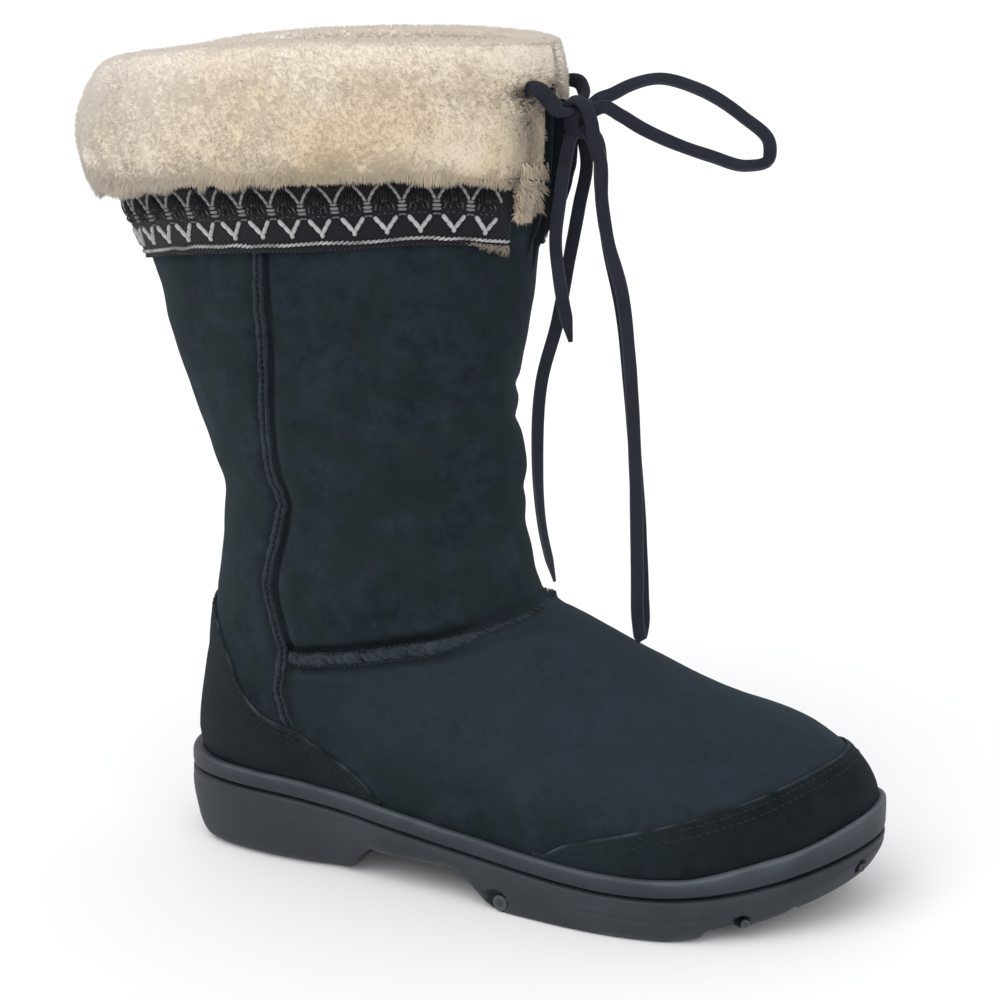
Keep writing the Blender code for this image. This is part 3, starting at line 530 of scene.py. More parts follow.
def boot_skin(theta, level, offset=0):
    """The suede's outer face with its folds, grown outwards by offset."""
    theta, level = np.broadcast_arrays(np.asarray(theta, float), np.asarray(level, float))
    base = upper_surface(theta, level)
    rise = suede_relief(base) + offset
    return base + upper_normal(theta, level) * rise[..., None]


# ---- meshes
def place(points):
    """Boot millimetres to the model's metres."""
    return np.asarray(points, float).reshape(-1, 3) * MM + (BACK, 0, 0)


def grid_faces(rows, columns, wrap_rows=False, wrap_columns=False):
    """Quads of a grid of points stored row by row, as one array."""
    i, j = np.meshgrid(np.arange(rows if wrap_rows else rows - 1),
                       np.arange(columns if wrap_columns else columns - 1), indexing="ij")
    k = (i + 1) % rows
    m = (j + 1) % columns
    corners = (i * columns + j, i * columns + m, k * columns + m, k * columns + j)
    return np.stack([c.ravel() for c in corners], -1)


def grid_part(grid, value=0):
    """Points, faces and values of an open grid, for join_parts()."""
    return grid.reshape(-1, 3), [grid_faces(*grid.shape[:2])], value


def roll_part(grid, value=0):
    """The same for rows that are closed rings, with the first and last ring capped."""
    rows, columns = grid.shape[:2]
    ring = np.arange(columns)[None]
    faces = [grid_faces(rows, columns, wrap_columns=True), ring[:, ::-1], ring + (rows - 1) * columns]
    return grid.reshape(-1, 3), faces, value


def join_parts(parts):
    """One list of points, polygons and values, a value for each point, from several."""
    starts = np.cumsum([0] + [len(part[0]) for part in parts])
    polygons = [p + start for part, start in zip(parts, starts) for p in part[1]]
    values = [np.broadcast_to(np.ravel(value), len(points)) for points, _, value in parts]
    return np.concatenate([part[0] for part in parts]), polygons, np.concatenate(values)


def both(values, inner=1):
    """Values of a sheet's points for its two faces, on the second face times inner."""
    return np.concatenate([np.ravel(values), inner * np.ravel(values)])


def shell_of(far, near):
    """Two grids of one size joined round their borders into a closed shell."""
    rows, columns = far.shape[:2]
    size = rows * columns
    loop = np.concatenate([np.arange(columns), np.arange(1, rows) * columns + columns - 1,
                           (rows - 1) * columns + np.arange(columns - 2, -1, -1),
                           np.arange(rows - 2, 0, -1) * columns])
    following = np.roll(loop, -1)
    border = np.stack([loop, loop + size, following + size, following], -1)
    faces = [grid_faces(rows, columns), grid_faces(rows, columns)[:, ::-1] + size, border]
    return np.concatenate([far.reshape(-1, 3), near.reshape(-1, 3)]), faces


def new_piece(name, points, polygons, mat, uv=None, values=None, merge=0, outwards=True):
    """A mesh object in place: points in millimetres, polygons as arrays of one width each.

    uv is a pair for each point; values is a dictionary of numbers, one for each point or one for all.
    Points nearer than merge are joined, and the faces of closed bodies are turned outwards.
    """
    mesh = bpy.data.meshes.new(name)
    loops = np.concatenate([p.ravel() for p in polygons]).astype(np.int32)
    sizes = np.concatenate([np.full(len(p), p.shape[1]) for p in polygons])
    places = place(points)
    mesh.vertices.add(len(places))
    mesh.vertices.foreach_set("co", places.ravel().astype(np.float32))
    mesh.loops.add(len(loops))
    mesh.loops.foreach_set("vertex_index", loops)
    mesh.polygons.add(len(sizes))
    mesh.polygons.foreach_set("loop_start", np.concatenate([[0], np.cumsum(sizes)[:-1]]).astype(np.int32))
    mesh.polygons.foreach_set("use_smooth", np.ones(len(sizes), bool))
    if uv is not None:
        layer = mesh.uv_layers.new(name="UVMap")
        layer.data.foreach_set("uv", np.asarray(uv, np.float32).reshape(-1, 2)[loops].ravel())
    for key, value in (values or {}).items():
        attribute = mesh.attributes.new(key, "FLOAT", "POINT")
        value = np.broadcast_to(np.ravel(value), len(places))
        attribute.data.foreach_set("value", value.astype(np.float32))
    mesh.update(calc_edges=True)
    mesh.validate()
    if outwards:
        body = bmesh.new()
        body.from_mesh(mesh)
        if merge:
            bmesh.ops.remove_doubles(body, verts=body.verts, dist=merge * MM)
        bmesh.ops.recalc_face_normals(body, faces=body.faces)
        body.to_mesh(mesh)
        body.free()
    mesh.materials.append(mat)
    piece = bpy.data.objects.new(name, mesh)
    bpy.context.scene.collection.objects.link(piece)
    return piece


def boot_piece(name, points, polygons, mat, slot, *nodes, **extras):
    """A new piece that rides on the boot and stands for the CAD nodes; slot is not used."""
    piece = new_piece(name, points, polygons, mat, **extras)
    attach(piece, "root")
    if nodes:
        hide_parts(*nodes)
    return piece


def tubes(lines, radii, sides, up, pointed=False):
    """Closed tapering tubes, one for each row of lines (n, k, 3), with radii (n, k).

    Each ring stands square to the line; both ends are capped, or the far end runs to a point.
    Returns points, polygons, and each point's share along its tube.
    """
    count, stations = lines.shape[:2]
    tangent = unit(np.gradient(lines, axis=1))
    across = unit(np.cross(tangent, np.broadcast_to(up, lines.shape)))
    lift = np.cross(across, tangent)
    angle = circle(sides)
    rings = (lines[:, :, None] + radii[:, :, None, None] * (
        across[:, :, None] * np.cos(angle)[:, None] + lift[:, :, None] * np.sin(angle)[:, None]))
    share = np.broadcast_to((np.arange(stations) / (stations - 1))[None, :, None], rings.shape[:3])
    used = stations - 1 if pointed else stations
    size = used * sides + (1 if pointed else 0)
    points = rings[:, :used].reshape(count, -1, 3)
    shares = share[:, :used].reshape(count, -1)
    first = (np.arange(count) * size)[:, None, None]
    quads = grid_faces(used, sides, wrap_columns=True)[None] + first
    polygons = [quads.reshape(-1, 4)[:, ::-1], (np.arange(sides) + first[:, 0])]
    if pointed:
        points = np.concatenate([points, lines[:, -1:]], 1)
        shares = np.concatenate([shares, np.ones((count, 1))], 1)
        last = (used - 1) * sides
        fan = np.stack([last + np.arange(sides), last + (np.arange(sides) + 1) % sides,
                        np.full(sides, size - 1)], -1)
        polygons.append((fan[None] + first).reshape(-1, 3)[:, ::-1])
    else:
        polygons.append((np.arange(sides)[::-1] + (used - 1) * sides + first[:, 0]))
    return points.reshape(-1, 3), polygons, shares.ravel()


def sweep(line, facing, profile, turn=0, scale=None, closed=False):
    """A profile (m, 2) carried along a line (n, 3): its first axis across, its second towards facing.

    turn rolls the profile about the line by that many radians from start to end; scale (n,) sizes it.
    Returns points, polygons and (along, around) pairs in millimetres.
    """
    stations = len(line)
    tangent = unit(np.roll(line, -1, 0) - np.roll(line, 1, 0) if closed else np.gradient(line, axis=0))
    across = unit(np.cross(tangent, np.broadcast_to(facing, line.shape)))
    lift = np.cross(across, tangent)
    roll = np.broadcast_to(turn, (stations,)) if np.ndim(turn) else np.linspace(0, turn, stations)
    side = across * np.cos(roll)[:, None] + lift * np.sin(roll)[:, None]
    face = lift * np.cos(roll)[:, None] - across * np.sin(roll)[:, None]
    size = np.ones(stations) if scale is None else scale
    rings = (line[:, None] + (side[:, None] * profile[None, :, :1]
                              + face[:, None] * profile[None, :, 1:]) * size[:, None, None])
    polygons = roll_part(rings)[1]
    if closed:
        polygons = [grid_faces(stations, len(profile), wrap_rows=True, wrap_columns=True)]
    uv = np.stack(np.meshgrid(arc_length(line), arc_length(profile), indexing="ij"), -1).reshape(-1, 2)
    return rings.reshape(-1, 3), polygons, uv


def strap_profile(width, thick, count=14):
    """Flat thong's section: a superellipse, width across and thick the other way."""
    angle = circle(count)
    across, up = np.cos(angle), np.sin(angle)
    return np.stack([width / 2 * np.sign(across) * np.abs(across) ** 0.55,
                     thick / 2 * np.sign(up) * np.abs(up) ** 0.7], -1)


# ---- shader helpers
def node(tree, kind, settings=None, **inputs):
    """Add a shader node; each named input takes a value or a link (underscores stand for spaces)."""
    made = tree.nodes.new("ShaderNode" + kind)
    for key, value in (settings or {}).items():
        setattr(made, key, value)
    for key, value in inputs.items():
        name = key.replace("_", " ")
        socket = made.inputs[int(name[4:])] if name.startswith("slot") else made.inputs[name]
        if isinstance(value, bpy.types.NodeSocket):
            tree.links.new(value, socket)
        else:
            socket.default_value = value
    return made


def maths(tree, operation, a, b=0):
    """Result of a Math node."""
    return node(tree, "Math", {"operation": operation}, slot0=a, slot1=b).outputs[0]


def weigh(tree, *terms, clamp=False):
    """Sum of (value, weight) pairs, held to 0..1 at the end if clamp is set."""
    total = 0
    for index, (value, weight) in enumerate(terms):
        settings = {"operation": "MULTIPLY_ADD", "use_clamp": clamp and index == len(terms) - 1}
        total = node(tree, "Math", settings, slot0=value, slot1=weight, slot2=total).outputs[0]
    return total


def mix(tree, factor, a, b):
    """Blend of two colours."""
    return node(tree, "Mix", {"data_type": "RGBA"}, slot0=factor, slot6=a, slot7=b).outputs[2]


def spread(tree, value, low, high, out_low=0, out_high=1):
    """Value from low..high mapped to out_low..out_high and held there."""
    made = node(tree, "MapRange", Value=value, From_Min=low, From_Max=high, To_Min=out_low, To_Max=out_high)
    return made.outputs[0]


def speckle(tree, vector, scale, detail, rough):
    """Value of a noise texture."""
    made = node(tree, "TexNoise", Vector=vector, Scale=scale, Detail=detail, Roughness=rough)
    return made.outputs["Fac"]


def shader_group(name, build, colours, numbers=()):
    """The named shader group, made once.

    A vector, the named colours and the named numbers go in; build(tree, inputs) gives the colour, the
    height and the roughness that come out.
    """
    if name in bpy.data.node_groups:
        return bpy.data.node_groups[name]
    tree = bpy.data.node_groups.new(name, "ShaderNodeTree")
    sockets = [("INPUT", "Vector", "Vector")] + [("INPUT", "Color", label) for label in colours]
    sockets += [("INPUT", "Float", label) for label in numbers]
    sockets += [("OUTPUT", "Color", "Color"), ("OUTPUT", "Float", "Height"), ("OUTPUT", "Float", "Roughness")]
    for way, kind, label in sockets:
        tree.interface.new_socket(label, in_out=way, socket_type="NodeSocket" + kind)
    given, out = tree.nodes.new("NodeGroupInput"), tree.nodes.new("NodeGroupOutput")
    for index, value in enumerate(build(tree, given.outputs)):
        tree.links.new(value, out.inputs[index])
    return tree


def nap_nodes(tree, given):
    """Brushed suede nap: slow green and violet patches, brush marks and fine fibres."""
    moved = node(tree, "Mapping", Vector=given["Vector"], Location=(3.1, 1.7, 5.3)).outputs[0]
    brush = speckle(tree, given["Vector"], 330, 4, 0.7)
    patches = spread(tree, speckle(tree, given["Vector"], 42, 3, 0.6), 0.34, 0.68)
    marks = spread(tree, brush, 0.32, 0.70)
    hairs = spread(tree, speckle(tree, given["Vector"], 2300, 3, 0.75), 0.28, 0.74)
    blots = spread(tree, speckle(tree, moved, 135, 3, 0.65), 0.36, 0.66, -0.14, 0.2)
    tone = weigh(tree, (patches, given["Mottle"]), (marks, 0.42), (blots, 1), (hairs, 0.2), clamp=True)
    shade = mix(tree, tone, given["Dark"], given["Light"])
    cast = spread(tree, speckle(tree, moved, 60, 2, 0.5), 0.44, 0.60, 0, 0.6)
    return (mix(tree, cast, shade, given["Cast"]), weigh(tree, (hairs, 0.75), (marks, 0.35)),
            spread(tree, brush, 0.3, 0.7, 0.88, 1))


def grain_nodes(tree, given):
    """Moulded rubber skin: fine pebble, faint scuffs and pale dust."""
    pebble = speckle(tree, given["Vector"], 1700, 2, 0.6)
    slow = speckle(tree, given["Vector"], 38, 4, 0.6)
    long_way = node(tree, "Mapping", Vector=given["Vector"], Scale=(0.35, 1, 2.6)).outputs[0]
    scuffs = spread(tree, speckle(tree, long_way, 240, 4, 0.7), 0.58, 0.74)
    dusty = weigh(tree, (spread(tree, slow, 0.38, 0.68), given["Wear"]), (scuffs, 0.16), clamp=True)
    return (mix(tree, dusty, given["Base"], given["Dust"]), weigh(tree, (pebble, 0.5), (scuffs, -0.35)),
            spread(tree, slow, 0.3, 0.7, 0.5, 0.68))


def fleece_nodes(tree, given):
    """Wool: fibres paler at their tips, warm and cool patches, small curls, and painted light that makes the
    top and back paler and greyer.
    """
    slow = speckle(tree, given["Vector"], 34, 3, 0.6)
    curls = speckle(tree, given["Vector"], 420, 3, 0.7)
    fine = speckle(tree, given["Vector"], 1900, 2, 0.6)
    shade = mix(tree, spread(tree, given["Along"], 0, 0.9), given["Root"], given["Tip"])
    place_at = node(tree, "SeparateXYZ", Vector=given["Vector"]).outputs
    # painted light: paler and greyer at the top of the cuff and at the back of the boot
    lit_top = spread(tree, place_at["Z"], 0.292, 0.326, 0, 0.6)
    lit_back = spread(tree, place_at["X"], -0.06, -0.15, 0, 0.8)
    cool = weigh(tree, (spread(tree, slow, 0.40, 0.64), 0.30), (lit_top, 1), (lit_back, 1), clamp=True)
    shade = mix(tree, cool, shade, given["Cool"])
    tone = weigh(tree, (given["Tone"], 0.75), (spread(tree, curls, 0.3, 0.7), 0.14))
    darker = mix(tree, 0.55, shade, given["Root"])
    return (mix(tree, tone, darker, shade), weigh(tree, (curls, 0.8), (fine, 0.3)),
            spread(tree, fine, 0.3, 0.7, 0.88, 1))


def weave_nodes(tree, given):
    """Flat woven cloth on a map in millimetres: crossing threads that pass over and under."""
    scaled = node(tree, "VectorMath", {"operation": "SCALE"}, slot0=given["Vector"], Scale=given["Threads"])
    place_at = node(tree, "SeparateXYZ", Vector=scaled.outputs[0]).outputs
    warp, weft, rib = (maths(tree, "SINE", maths(tree, "MULTIPLY", place_at[axis], pace))
                       for axis, pace in (("X", pi), ("Y", pi), ("X", 2 * pi)))
    fuzz = speckle(tree, given["Vector"], 2.6, 3, 0.7)
    height = weigh(tree, (maths(tree, "MULTIPLY", warp, weft), 0.5), (maths(tree, "ABSOLUTE", rib), 0.35))
    # painted shade: the colour follows the height, so the hollows between threads are darker
    tone = spread(tree, weigh(tree, (height, 1), (fuzz, 0.9)), -0.1, 1.3)
    return (mix(tree, tone, given["Dark"], given["Light"]), weigh(tree, (height, 1), (fuzz, 0.4)),
            spread(tree, fuzz, 0.3, 0.7, 0.8, 0.95))


def twist_nodes(tree, given):
    """Twisted thread: slanting strands with fuzz."""
    strands = node(tree, "TexWave", {"bands_direction": "DIAGONAL"}, Vector=given["Vector"],
                   Scale=520, Distortion=3, Detail=2).outputs["Fac"]
    fuzz = speckle(tree, given["Vector"], 900, 3, 0.7)
    # painted shade: the colour follows the strands' height, so the grooves between strands are darker
    tone = weigh(tree, (strands, 0.5), (fuzz, 0.6), clamp=True)
    return (mix(tree, tone, given["Dark"], given["Light"]), weigh(tree, (strands, 1), (fuzz, 1)),
            spread(tree, fuzz, 0.3, 0.7, 0.78, 0.95))


WOOL_SHEEN = (1, 0.95, 0.85)
NAP = ("brushed_nap", nap_nodes, ("Dark", "Light", "Cast"), ("Mottle",))
GRAIN = ("rubber_grain", grain_nodes, ("Base", "Dust"), ("Wear",))
FLEECE = ("wool_fibre", fleece_nodes, ("Root", "Tip", "Cool"), ("Along", "Tone"))
WEAVE = ("plain_weave", weave_nodes, ("Dark", "Light"), ("Threads",))
TWIST = ("twisted_thread", twist_nodes, ("Dark", "Light"))


def rgba(colour):
    """A colour with full cover, as sockets want it."""
    return (*colour[:3], 1)


def attribute(tree, key):
    """A piece's own value by name."""
    return node(tree, "Attribute", {"attribute_name": key}).outputs["Fac"]


def finish_material(name, group, colours, bump, vector="Object", numbers=None, sheen=0,
                    sheen_tint=(1, 1, 1), specular=0.5, tints=()):
    """A Principled material whose colour, roughness and bump come from a shader group.

    bump is (strength, depth in millimetres); each tint (value name, colour, amount) blends the colour
    towards another where the piece's own value is high.
    """
    mat = bpy.data.materials.new(name)
    mat.use_nodes = True
    tree = mat.node_tree
    shader = tree.nodes["Principled BSDF"]
    shader.inputs["Specular IOR Level"].default_value = specular
    shader.inputs["Sheen Weight"].default_value = sheen
    shader.inputs["Sheen Roughness"].default_value = 0.5
    shader.inputs["Sheen Tint"].default_value = (*sheen_tint, 1.0)
    placed = tree.nodes.new("ShaderNodeGroup")
    placed.node_tree = shader_group(*group)
    coordinates = tree.nodes.new("ShaderNodeTexCoord").outputs[vector]
    tree.links.new(coordinates, placed.inputs[0])
    for label, colour in colours.items():
        placed.inputs[label].default_value = rgba(colour)
    for label, number in (numbers or {}).items():
        if isinstance(number, str):
            tree.links.new(attribute(tree, number), placed.inputs[label])
        else:
            placed.inputs[label].default_value = number
    colour = placed.outputs["Color"]
    for key, other, amount in tints:
        broken = spread(tree, placed.outputs["Height"], 0.15, 0.85, 0.55 * amount, 1.35 * amount)
        share = weigh(tree, (attribute(tree, key), broken), clamp=True)
        colour = mix(tree, share, colour, rgba(other))
    strength, depth = bump
    bumped = node(tree, "Bump", Strength=strength, Distance=depth * MM, Height=placed.outputs["Height"])
    tree.links.new(colour, shader.inputs["Base Color"])
    tree.links.new(placed.outputs["Roughness"], shader.inputs["Roughness"])
    tree.links.new(bumped.outputs[0], shader.inputs["Normal"])
    return mat


def nap_material(name, dark, light, cast, bump, mottle, **looks):
    """Suede or soft leather; cast is the colour of some slow patches, mottle how far patches differ."""
    colours = {"Dark": dark, "Light": light, "Cast": cast}
    return finish_material(name, NAP, colours, bump, numbers={"Mottle": mottle}, **looks)


def rubber_material(name, base, dust, bump, wear, **looks):
    """Moulded rubber, dusty by its wear."""
    return finish_material(name, GRAIN, {"Base": base, "Dust": dust}, bump, numbers={"Wear": wear}, **looks)


def thread_material(name, dark, light, bump, **looks):
    """Twisted yarn or thread."""
    return finish_material(name, TWIST, {"Dark": dark, "Light": light}, bump, **looks)


def wool_material(name, colours, bump, along, tone, **looks):
    """Wool in the boot's wool colours; along and tone are numbers or names of a piece's own values."""
    wool = {"Root": colours.wool_root, "Tip": colours.wool_tip, "Cool": colours.wool_cool}
    looks = {"sheen": 0.3, "sheen_tint": WOOL_SHEEN, "specular": 0.1} | looks
    return finish_material(name, FLEECE, wool, bump, numbers={"Along": along, "Tone": tone}, **looks)


# ---- settings a user would change
def length(label, text, value):
    """A setting in metres."""
    return bpy.props.FloatProperty(name=label, description=text, default=value, unit="LENGTH", precision=4)


def colour(label, text, value):
    """A colour setting."""
    return bpy.props.FloatVectorProperty(
        name=label, description=text, default=value, subtype="COLOR", size=3, min=0, max=1)


class BootSizes(bpy.types.PropertyGroup):
    thong_width: length("Thong width", "Width of the flat suede thong", 5.0 * MM)
    thong_thick: length("Thong thickness", "Thickness of the flat suede thong", 2.1 * MM)
    seam_width: length("Seam width", "Width of the raised seam over the foot", 4.6 * MM)
    stitch_pitch: length("Stitch pitch", "Distance between stitches along a seam", 2.8 * MM)
    overlay_thick: length("Overlay thickness", "How far the toe and heel overlays stand out", 1.3 * MM)
    pile_length: length("Pile length", "Length of the fibres that stand out of the cuff", 4.2 * MM)
    pile_count: bpy.props.IntProperty(
        name="Locks", description="Locks of wool on the cuff", default=82000, min=1000, max=160000)
    braid_repeat: length("Braid repeat", "Length of one repeat of the woven pattern", 12.2 * MM)


class BootColours(bpy.types.PropertyGroup):
    suede_dark: colour("Suede", "Suede in the lie of its nap", srgb(16, 21, 26))
    suede_light: colour("Suede, brushed", "Suede brushed against its nap", srgb(38, 46, 54))
    suede_cast: colour("Suede, cast", "Faint green cast of some patches", srgb(24, 35, 33))
    foot_light: colour("Foot suede", "Brushed suede over the foot", srgb(39, 48, 56))
    overlay_dark: colour("Overlay", "Toe and heel suede", srgb(10, 14, 17))
    overlay_light: colour("Overlay, brushed", "Toe and heel suede brushed", srgb(27, 33, 38))
    rubber: colour("Rubber", "The moulded sole", srgb(34, 40, 46))
    rim: colour("Rim", "The rim above the groove", srgb(28, 34, 42))
    dust: colour("Dust", "Dust and scuffs on the rubber", srgb(72, 77, 84))
    wool_root: colour("Wool, root", "Fibres at the root", srgb(202, 184, 156))
    wool_tip: colour("Wool, tip", "Fibres at the tip", srgb(221, 204, 178))
    # the greyer colour also carries the painted light at the top and back of the wool
    wool_cool: colour("Wool, cool", "Greyer patches of the wool", srgb(234, 227, 219))
    braid_dark: colour("Braid ground", "Ground of the woven band", srgb(12, 12, 17))
    braid_light: colour("Braid figure", "Pale yarn of the band", srgb(205, 205, 205))
    thong: colour("Thong", "Thong of soft leather", srgb(14, 17, 24))


# ---- stage
CAMERA_AZIMUTH = 21
CAMERA_ELEVATION = 14.5
CAMERA_DISTANCE = 888
CAMERA_TARGET = (132.5, 0, 149.5)
FOCAL_RATIO = 2.288                # focal length over the frame's width
SENSOR = 36
FLOOR_SIZE = 60                  # metres


def add_sun(name, direction, strength, angle, tint):
    """A distant lamp shining from direction, angle degrees wide."""
    light = bpy.data.lights.new(name, "SUN")
    light.energy = strength
    light.angle = radians(angle)
    light.color = tint
    lamp = bpy.data.objects.new(name, light)
    lamp.rotation_euler = Vector(direction).to_track_quat("Z", "Y").to_euler()
    bpy.context.scene.collection.objects.link(lamp)


class BOOT_OT_stage(bpy.types.Operator):
    """Pale floor, soft light and the camera"""
    bl_idname = "boot.stage"
    bl_label = "Stage"

    def execute(self, context):
        turn, rise = radians(CAMERA_AZIMUTH), radians(CAMERA_ELEVATION)
        back = np.array([sin(turn) * cos(rise), -cos(turn) * cos(rise), sin(rise)])
        lens = bpy.data.cameras.new("camera")
        lens.sensor_width = SENSOR
        lens.lens = FOCAL_RATIO * SENSOR
        lens.clip_end = 200
        camera = bpy.data.objects.new("camera", lens)
        camera.location = place(np.array(CAMERA_TARGET) + CAMERA_DISTANCE * back)[0]
        camera.rotation_euler = Vector(back).to_track_quat("Z", "Y").to_euler()
        context.scene.collection.objects.link(camera)
        context.scene.camera = camera
        context.scene.view_settings.view_transform = "Standard"

        world = bpy.data.worlds.new("soft_room")
        world.use_nodes = True
        sky = world.node_tree.nodes["Background"]
        sky.inputs["Color"].default_value = (0.96, 0.98, 1.0, 1.0)
        sky.inputs["Strength"].default_value = 0.85
        context.scene.world = world
        add_sun("key", (-0.40, -0.70, 1), 1.3, 50, (1, 0.98, 0.95))
        add_sun("front", (0.75, -0.9, 0.45), 0.8, 60, (0.95, 0.97, 1))

        half = FLOOR_SIZE / 2 / MM
        corners = np.array([(-half, -half, 0), (half, -half, 0), (half, half, 0), (-half, half, 0)])
        paint = bpy.data.materials.new("pale_floor")
        paint.use_nodes = True
        shader = paint.node_tree.nodes["Principled BSDF"]
        shader.inputs["Base Color"].default_value = (0.9, 0.9, 0.9, 1.0)
        shader.inputs["Roughness"].default_value = 0.8
        floor = new_piece("floor", corners, [np.array([[0, 1, 2, 3]])], paint, outwards=False)
        return {"FINISHED"}


# ---- lace
def knot_exit(direction):
    """Two points outside the knot along direction, where a strand leaves it."""
    along = np.asarray(direction) / np.linalg.norm(direction)
    reach = 1 / np.linalg.norm(along / np.asarray(KNOT_RADII)) + KNOT_CLEAR
    return [np.asarray(KNOT_CENTRE) + along * (reach + step) for step in (0, KNOT_LEAD)]


CORD_LOOKS = {
    # node: piece, direction the flat faces, roll along it in radians, how it lies
    "lace_loop_side": ("bow_loop_side", (0.25, -0.75, 0.60), 0.5, "loose"),
    "lace_loop_hang": ("bow_loop_hanging", (0.45, -0.89, 0), 0.5, "hanging"),
    "lace_tail_short": ("lace_end_short", (0.25, -0.97, 0), 0.5, "hanging"),
    "lace_tail_long": ("lace_end_long", (0.55, -0.83, 0), 1.6, "hanging"),
}


class BOOT_OT_lace(bpy.types.Operator):
    """The thong: a strap through both holes, the knot, two loops and two ends"""
    bl_idname = "boot.lace"
    bl_label = "Lace"

    def execute(self, context):
        sizes = context.scene.boot_sizes
        colours = context.scene.boot_colours
        # the pale edge tint paints a sheen along the thong's edges, besides its raw cut edge
        leather = nap_material(
            "thong_leather", colours.thong, srgb(32, 36, 46), srgb(28, 31, 41), (0.4, 0.2), 0.3,
            sheen=0.15, sheen_tint=srgb(150, 160, 180), specular=0.3,
            tints=[("raw_edge_and_highlight", srgb(78, 80, 88), 0.5)])
        width, thick = sizes.thong_width / MM, sizes.thong_thick / MM
        knot = self.knot(width, thick, leather)
        for cad_node, (name, facing, turn, lay) in CORD_LOOKS.items():
            out, back, between = CORDS[cad_node]
            route = [*knot_exit(out), *between]
            if back:
                route += knot_exit(back)[::-1]
            line = smooth_line(route, 1.4)
            path = place(line)
            ends = line[[0, -1]]
            ends = ends + unit(np.array(KNOT_CENTRE) - ends) * KNOT_GRIP
            line = np.concatenate([ends[:1], line, ends[1:] if back else ends[:0]])
            piece = self.strap(name, cad_node, line, facing, turn, width, thick, leather, tapered=not back)
            float(arc_length(path)[-1])
        self.bar(width, thick, leather)
        return {"FINISHED"}

    def strap(self, name, cad_node, line, facing, turn, width, thick, leather, tapered):
        """Flat thong along a line; its faces wander a little, and a free end is cut to a soft point."""
        share = np.linspace(0, 1, len(line))
        roll = turn * (share - 0.5) + 0.18 * np.sin(share * 9)
        run = np.linalg.norm(line[-1] - line, axis=1)
        scale = np.where(run < 9, 0.35 + 0.65 * run / 9, 1) if tapered else np.ones(len(line))
        scale = scale * (1 + 0.05 * noise(line, 9, 5))
        profile = strap_profile(width, thick)
        points, polygons, uv = sweep(line, facing, profile, roll, scale)
        # painted highlight on the strap's narrow edges
        edge = np.abs(profile[:, 0]) / (width / 2)
        raw = np.tile(smooth_step(0.86, 1, edge), len(line))
        return boot_piece(name, points, polygons, leather, "thong_leather", cad_node,
                          uv=uv, values={"raw_edge_and_highlight": raw})

    def bar(self, width, thick, leather):
        """The part of the thong through both holes and across the inside."""
        lateral = [knot_exit(BAR_EXIT)[0], *BAR_HALF]
        medial = [(x, -y, z) for x, y, z in lateral[1:]]
        medial.insert(0, knot_exit((BAR_EXIT[0], -BAR_EXIT[1], BAR_EXIT[2]))[0])
        line = smooth_line(lateral + medial[::-1], 1.2)
        outside = smooth_step(9, 16, np.abs(line[:, 1]))
        facing = np.stack([0.25 * outside, np.sign(line[:, 1]) * 0.95 * outside, 1.05 - 0.75 * outside], -1)
        out_of_hole = smooth_step(148, 158, line[:, 0])
        points, polygons, uv = sweep(
            line, facing, strap_profile(width, thick * 1.2), 0, 0.85 + 0.4 * out_of_hole)
        boot_piece("lace_through_holes", points, polygons, leather, "thong_leather", "lace_bar",
                   uv=uv, values={"raw_edge_and_highlight": 0})

    def knot(self, width, thick, leather):
        """Knot: flat turns of the thong wound about one another, each an ellipse on its own tilt."""
        centre = np.array(KNOT_CENTRE)
        turn = np.linspace(0, 2 * pi, 49)[:-1]
        profile = strap_profile(width, thick)
        wraps = (
            # two axes of the ellipse, radii along them, shift of its centre
            ((0.95, 0, 0.30), (0, 1, 0), 4.6, 6, (0, 0, 2.4)),
            ((0.92, 0.25, -0.30), (-0.1, 0.85, 0.52), 4.4, 5.8, (0.2, 0, -2.2)),
            ((0.30, 0.75, 0.60), (0, -0.60, 0.80), 4.6, 5.2, (0.9, -1.6, 0)),
            ((0.35, -0.75, 0.55), (0.1, 0.58, 0.80), 4.2, 5, (0.7, 2, -0.2)),
        )
        parts = []
        for first, second, a, b, shift in wraps:
            first, second = unit(np.array(first)), unit(np.array(second))
            middle = centre + shift
            line = middle + a * np.cos(turn)[:, None] * first + b * np.sin(turn)[:, None] * second
            parts.append((*sweep(line, unit(line - middle), profile, closed=True)[:2], 0))
        line = smooth_line(OVER_TURN, 1)
        across = smooth_step(305, 296, line[:, 2])
        facing = np.stack([0.15 + 0.3 * across, -0.45 - 0.4 * across, 0.88 * (1 - across)], -1)
        parts.append((*sweep(line, facing, profile)[:2], 0))
        down, around = np.meshgrid(np.linspace(0.05, pi - 0.05, 12), turn[::2], indexing="ij")
        ball = np.stack([np.sin(down) * np.cos(around), np.sin(down) * np.sin(around), np.cos(down)], -1)
        parts.append(roll_part(ball * (3.6, 4.8, 4.4) + centre))
        points, polygons, raw = join_parts(parts)
        return boot_piece("lace_knot_turns", points, polygons, leather, "thong_leather", "lace_knot",
                          values={"raw_edge_and_highlight": raw})


